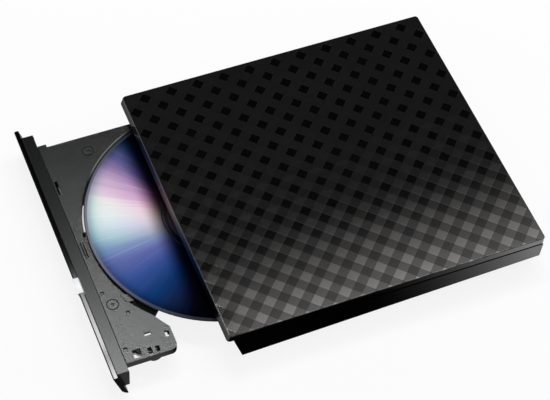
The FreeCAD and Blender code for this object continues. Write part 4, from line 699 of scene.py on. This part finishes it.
def cable_amber():
    """Amber film over side-by-side wires."""
    made, tree, shader = start_material("cable_amber")
    wires = add(tree, "ShaderNodeTexWave", {"Scale": 320.0})
    wires.bands_direction = "X"
    connect(tree, object_place(tree), wires.inputs["Vector"])
    base = blend_colours(tree, wires.outputs["Fac"], (0.30, 0.13, 0.03, 1.0), (0.62, 0.34, 0.10, 1.0))
    connect(tree, base, shader.inputs["Base Color"])
    connect(tree, between(tree, wires.outputs["Fac"], 0.0, 1.0, 0.42, 0.3), shader.inputs["Roughness"])
    bump(tree, shader, wires.outputs["Fac"], 0.3, 0.00005)
    return made


MATERIALS = {
    "cover_gloss": cover_gloss(),
    "housing_gloss": housing_gloss(),
    "plate_gloss": plate_gloss(),
    "bezel_matt": bezel_matt(),
    "tray_matt": tray_matt(),
    "button_light": button_light(),
    "foot_rubber": moulded("foot_rubber", (0.030, 0.030, 0.032), 0.75, 1800.0),
    "screw_steel": brushed("screw_steel", (0.62, 0.60, 0.57), 0.32, (1.0, 1.0, 0.1)),
    "black_screw_steel": brushed("black_screw_steel", (0.05, 0.05, 0.055), 0.38, (1.0, 1.0, 0.1)),
    "sheet_steel": brushed("sheet_steel", (0.62, 0.62, 0.60), 0.36, (1.0, 0.05, 1.0)),
    "rail_steel": brushed("rail_steel", (0.66, 0.66, 0.66), 0.25, (1.0, 0.02, 1.0)),
    "guide_plastic": moulded("guide_plastic", (0.05, 0.05, 0.055), 0.45),
    "white_plastic": moulded("white_plastic", (0.72, 0.71, 0.68), 0.4),
    "board_green": board_green(),
    "chip_black": moulded("chip_black", (0.020, 0.020, 0.022), 0.5, 3500.0),
    "connector_ivory": moulded("connector_ivory", (0.68, 0.62, 0.50), 0.45),
    "socket_steel": brushed("socket_steel", (0.70, 0.69, 0.67), 0.28, (0.05, 1.0, 1.0)),
    "cable_amber": cable_amber(),
    "lamp_clear": lamp_clear(),
    "frame_metal": moulded("frame_metal", (0.012, 0.011, 0.010), 0.45, 2600.0, 0.00002, 0.3, 0.3, 0.2),
    "damper_rubber": moulded("damper_rubber", (0.035, 0.034, 0.034), 0.7),
    "rod_chrome": brushed("rod_chrome", (0.80, 0.80, 0.80), 0.12, (1.0, 1.0, 0.02)),
    "motor_steel": brushed("motor_steel", (0.60, 0.60, 0.58), 0.3, (0.1, 1.0, 1.0)),
    "coil_copper": coil_copper(),
    "magnet_black": moulded("magnet_black", (0.045, 0.045, 0.048), 0.42),
    "table_plastic": moulded("table_plastic", (0.030, 0.030, 0.032), 0.4),
    "pad_rubber": moulded("pad_rubber", (0.06, 0.06, 0.06), 0.8),
    "disc_silver": disc_silver(),
    "sled_metal": brushed("sled_metal", (0.50, 0.50, 0.50), 0.42, (1.0, 1.0, 1.0)),
    "lens_glass": lens_glass(),
    "solenoid_metal": brushed("solenoid_metal", (0.55, 0.54, 0.52), 0.35, (1.0, 0.1, 1.0)),
}


# Pieces
def dress_nodes():
    """Gives every CAD piece the material that its slot is named for."""
    for piece in nodes.values():
        for slot in piece.material_slots:
            name = slot.material.name.split(".")[0]
            slot.material = MATERIALS[name]


def glint_angle(vertex):
    """Angle around the disc's middle, where the strip's own origin is."""
    return math.degrees(math.atan2(vertex.co.y, vertex.co.x)) % 360.0


def painted_rim_glint():
    """Pale strip on the rim of the tray's recess, along its front, wider at one end: a painted highlight
    that stands in for a bright line in the gap beside the disc.
    """
    middle = (DISC_CENTRE[0], DISC_CENTRE[1], GLINT_TOP)
    bpy.ops.object.select_all(action="DESELECT")
    bpy.ops.mesh.primitive_circle_add(vertices=360, radius=GLINT_INSIDE, location=middle)
    piece = bpy.context.object
    piece.name = "painted_rim_glint"
    bpy.ops.object.mode_set(mode="EDIT")
    mesh = bmesh.from_edit_mesh(piece.data)
    for vertex in mesh.verts:
        vertex.select_set(not GLINT_START <= glint_angle(vertex) <= GLINT_END)
    mesh.select_flush_mode()
    bmesh.update_edit_mesh(piece.data)
    bpy.ops.mesh.delete(type="VERT")
    bpy.ops.mesh.select_all(action="SELECT")
    bpy.ops.mesh.extrude_edges_move()
    mesh = bmesh.from_edit_mesh(piece.data)
    for vertex in mesh.verts:
        if vertex.select:
            share = (glint_angle(vertex) - GLINT_START) / (GLINT_END - GLINT_START)
            width = GLINT_START_WIDTH + share * (GLINT_END_WIDTH - GLINT_START_WIDTH)
            vertex.co *= 1.0 + width / GLINT_INSIDE
    bmesh.update_edit_mesh(piece.data)
    bpy.ops.mesh.select_all(action="SELECT")
    bpy.ops.mesh.extrude_region_move(TRANSFORM_OT_translate={"value": (0, 0, -GLINT_DEPTH)})
    bpy.ops.mesh.select_all(action="SELECT")
    bpy.ops.mesh.normals_make_consistent(inside=False)
    bpy.ops.object.mode_set(mode="OBJECT")
    bpy.ops.object.transform_apply(location=True, rotation=True, scale=True)
    soften = piece.modifiers.new("soften", "BEVEL")
    soften.width = GLINT_BEVEL
    soften.segments = 2
    bpy.ops.object.modifier_apply(modifier="soften")
    # The strip's pale colour is a painted highlight.
    piece.data.materials.append(moulded("rim_glint_paint", (0.62, 0.59, 0.60), 0.6, 4000.0, 0.00002, 0.15))
    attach(piece, "sliding_tray")


def cable_strip(name, rows):
    """Thin strip through rows, each (left, right, y, z), with the cable's own thickness."""
    mesh = bmesh.new()
    last = None
    for left, right, y, z in rows:
        row = [mesh.verts.new((left, y, z)), mesh.verts.new((right, y, z))]
        if last:
            mesh.faces.new((last[0], last[1], row[1], row[0]))
        last = row
    data = bpy.data.meshes.new(name)
    mesh.to_mesh(data)
    mesh.free()
    piece = bpy.data.objects.new(name, data)
    bpy.context.scene.collection.objects.link(piece)
    bpy.ops.object.select_all(action="DESELECT")
    bpy.context.view_layer.objects.active = piece
    piece.select_set(True)
    thick = piece.modifiers.new("thick", "SOLIDIFY")
    thick.thickness = CABLE_THICK
    thick.offset = 0.0
    bpy.ops.object.modifier_apply(modifier="thick")
    data.materials.append(MATERIALS["cable_amber"])
    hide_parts("flex_cable")
    return piece


def fixed_cable(board_end):
    """The cable's crossing from the board and its run on the pan, which both stay put."""
    front, rear = CABLE_CROSSING
    run_end = CABLE_BEND - CABLE_OVERLAP / 2
    crossing = cable_strip("cable_crossing", [
        (CABLE_LEFT, board_end, front, CABLE_LOWER),
        (CABLE_LEFT, board_end, rear, CABLE_LOWER),
    ])
    pan_run = cable_strip("cable_pan_run", [
        (CABLE_LEFT, CABLE_RIGHT, rear, CABLE_LOWER),
        (CABLE_LEFT, CABLE_RIGHT, run_end, CABLE_LOWER),
    ])
    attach(crossing, "housing")
    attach(pan_run, "housing")


def moving_cable(tray_end):
    """The cable's bend and its run under the tray, out to the tray's end."""
    rows = [(CABLE_LEFT, CABLE_RIGHT, CABLE_BEND - CABLE_OVERLAP, CABLE_LOWER)]
    middle = (CABLE_LOWER + CABLE_UPPER) / 2
    radius = (CABLE_UPPER - CABLE_LOWER) / 2
    for step in range(BEND_STEPS + 1):
        turn = math.pi * step / BEND_STEPS
        y = CABLE_BEND + radius * math.sin(turn)
        rows.append((CABLE_LEFT, CABLE_RIGHT, y, middle - radius * math.cos(turn)))
    for step in range(1, RUN_STEPS + 1):
        y = CABLE_BEND + (tray_end - CABLE_BEND) * step / RUN_STEPS
        rows.append((CABLE_LEFT, CABLE_RIGHT, y, CABLE_UPPER))
    tray_run = cable_strip("cable_tray_run", rows)
    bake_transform(tray_run)


def flat_cable():
    """The cable in three strips, of which two stay with the housing."""
    low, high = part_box("flex_cable")
    fixed_cable(high[0])
    moving_cable(low[1])


dress_nodes()
painted_rim_glint()
flat_cable()


# The studio
def studio_floor():
    """Pale floor. In the drive's gloss it glows as a painted reflection: dark beside the front half and
    rising towards the rear.
    """
    made, tree, shader = start_material("studio_floor")
    cloud = place_group(tree, DRIFT, {"Per Metre": 3.0}).outputs["Amount"]
    base = blend_colours(tree, cloud, grey(0.86), grey(0.88))
    connect(tree, base, shader.inputs["Base Color"])
    shader.inputs["Roughness"].default_value = 0.9
    along = split_place(tree)["Y"]
    fade_from = FLOOR_DARK_FROM - FLOOR_FRONT_FADE
    front = between(tree, along, fade_from, FLOOR_DARK_FROM, FLOOR_FRONT_LEVEL, 0.0)
    rear = between(tree, along, FLOOR_DARK_TO, FLOOR_PALE_FROM, smooth=False)
    rear = math_step(tree, "POWER", rear, FLOOR_REAR_POWER)
    # Painted reflection: glossy rays see the floor glow only by this card, dark from FLOOR_DARK_FROM to
    # FLOOR_DARK_TO and rising towards the rear.
    card = math_step(tree, "MAXIMUM", front, rear)
    path = add(tree, "ShaderNodeLightPath")
    glossy = path.outputs["Is Glossy Ray"]
    mirrored = math_step(tree, "SUBTRACT", 1.0, glossy)
    mirrored = math_step(tree, "MAXIMUM", mirrored, card)
    glow = add(tree, "ShaderNodeEmission")
    glow.inputs["Color"].default_value = grey(1.0)
    connect(tree, mirrored, glow.inputs["Strength"])
    seen = math_step(tree, "MAXIMUM", path.outputs["Is Camera Ray"], path.outputs["Is Transmission Ray"])
    share = math_step(tree, "MULTIPLY", seen, FLOOR_OWN_GLOW)
    share = math_step(tree, "MAXIMUM", share, glossy)
    mixed = add(tree, "ShaderNodeMixShader")
    connect(tree, share, mixed.inputs[0])
    connect(tree, shader.outputs[0], mixed.inputs[1])
    connect(tree, glow.outputs[0], mixed.inputs[2])
    connect(tree, mixed.outputs[0], tree.nodes["Material Output"].inputs["Surface"])
    return made


def make_floor():
    bpy.ops.object.select_all(action="DESELECT")
    bpy.ops.mesh.primitive_plane_add(size=FLOOR_SIZE, location=(0, 0, 0))
    floor = bpy.context.object
    floor.name = "studio_floor"
    floor.data.materials.append(studio_floor())


def make_world():
    """Even surroundings, dark high up on the left."""
    world = bpy.data.worlds.new("studio")
    bpy.context.scene.world = world
    world.use_nodes = True
    tree = world.node_tree
    back = tree.nodes["Background"]
    direction = add(tree, "ShaderNodeTexCoord").outputs["Generated"]
    parts = add(tree, "ShaderNodeSeparateXYZ")
    connect(tree, direction, parts.inputs[0])
    sideways = between(tree, parts.outputs["X"], -0.50, -0.30, 1.0, 0.0)
    upwards = between(tree, parts.outputs["Z"], 0.35, 0.60)
    dark_side = math_step(tree, "MULTIPLY", sideways, upwards)
    level = between(tree, dark_side, 0.0, 1.0, WORLD_LEVEL, WORLD_DARK_LEVEL, smooth=False)
    connect(tree, level, back.inputs["Strength"])
    back.inputs["Color"].default_value = grey(1.0)


def make_lamp(name, place, size, level):
    """A soft rectangular lamp that shines straight down; its level is how bright its face looks."""
    data = bpy.data.lights.new(name, "AREA")
    data.shape = "RECTANGLE"
    data.size = size[0]
    data.size_y = size[1]
    data.energy = level * math.pi * size[0] * size[1]
    lamp = bpy.data.objects.new(name, data)
    lamp.location = place
    bpy.context.scene.collection.objects.link(lamp)


def make_fading_lamp(name, left, right, middle_y, depth, level, feather, strips):
    """A wide lamp whose left side fades out in narrow strips."""
    width = right - left
    make_lamp(name, (left + width / 2, middle_y, LAMP_HEIGHT), (width, depth), level)
    strip = feather / strips
    for index in range(strips):
        x = left - (index + 0.5) * strip
        share = 1.0 - (index + 0.5) / strips
        faded = level * share ** LAMP_FADE_POWER
        make_lamp(f"{name}_{index}", (x, middle_y, LAMP_HEIGHT), (strip, depth), faded)


def make_rising_strip():
    """A narrow lamp over the tray's front, brighter towards its right end."""
    width = STRIP_WIDTH / STRIP_PARTS
    low, high = STRIP_LEVELS
    for index in range(STRIP_PARTS):
        x = STRIP_LEFT + (index + 0.5) * width
        level = low + (high - low) * index / (STRIP_PARTS - 1)
        make_lamp(f"strip_{index}", (x, STRIP_MIDDLE_Y, LAMP_HEIGHT), (width, STRIP_DEPTH), level)


def make_camera():
    data = bpy.data.cameras.new("camera")
    data.lens = CAMERA_LENS
    data.sensor_width = CAMERA_SENSOR
    data.clip_start = 0.01
    data.clip_end = 100.0
    camera = bpy.data.objects.new("camera", data)
    bpy.context.scene.collection.objects.link(camera)
    ahead = Vector(CAMERA_AIM) - Vector(CAMERA_PLACE)
    level = ahead.to_track_quat("-Z", "Y").to_matrix()
    rolled = level @ Matrix.Rotation(math.radians(CAMERA_ROLL), 3, "Z")
    camera.matrix_world = Matrix.Translation(CAMERA_PLACE) @ rolled.to_4x4()
    bpy.context.scene.camera = camera


make_floor()
make_world()
make_fading_lamp("softbox", SOFTBOX_LEFT, SOFTBOX_RIGHT, SOFTBOX_MIDDLE_Y, SOFTBOX_DEPTH,
                 SOFTBOX_LEVEL, FEATHER_WIDTH, FEATHER_STRIPS)
make_fading_lamp("card", CARD_LEFT, CARD_RIGHT, CARD_MIDDLE_Y, CARD_DEPTH,
                 CARD_LEVEL, CARD_FEATHER, CARD_STRIPS)
make_rising_strip()
make_camera()
bpy.context.scene.view_settings.view_transform = "Standard"
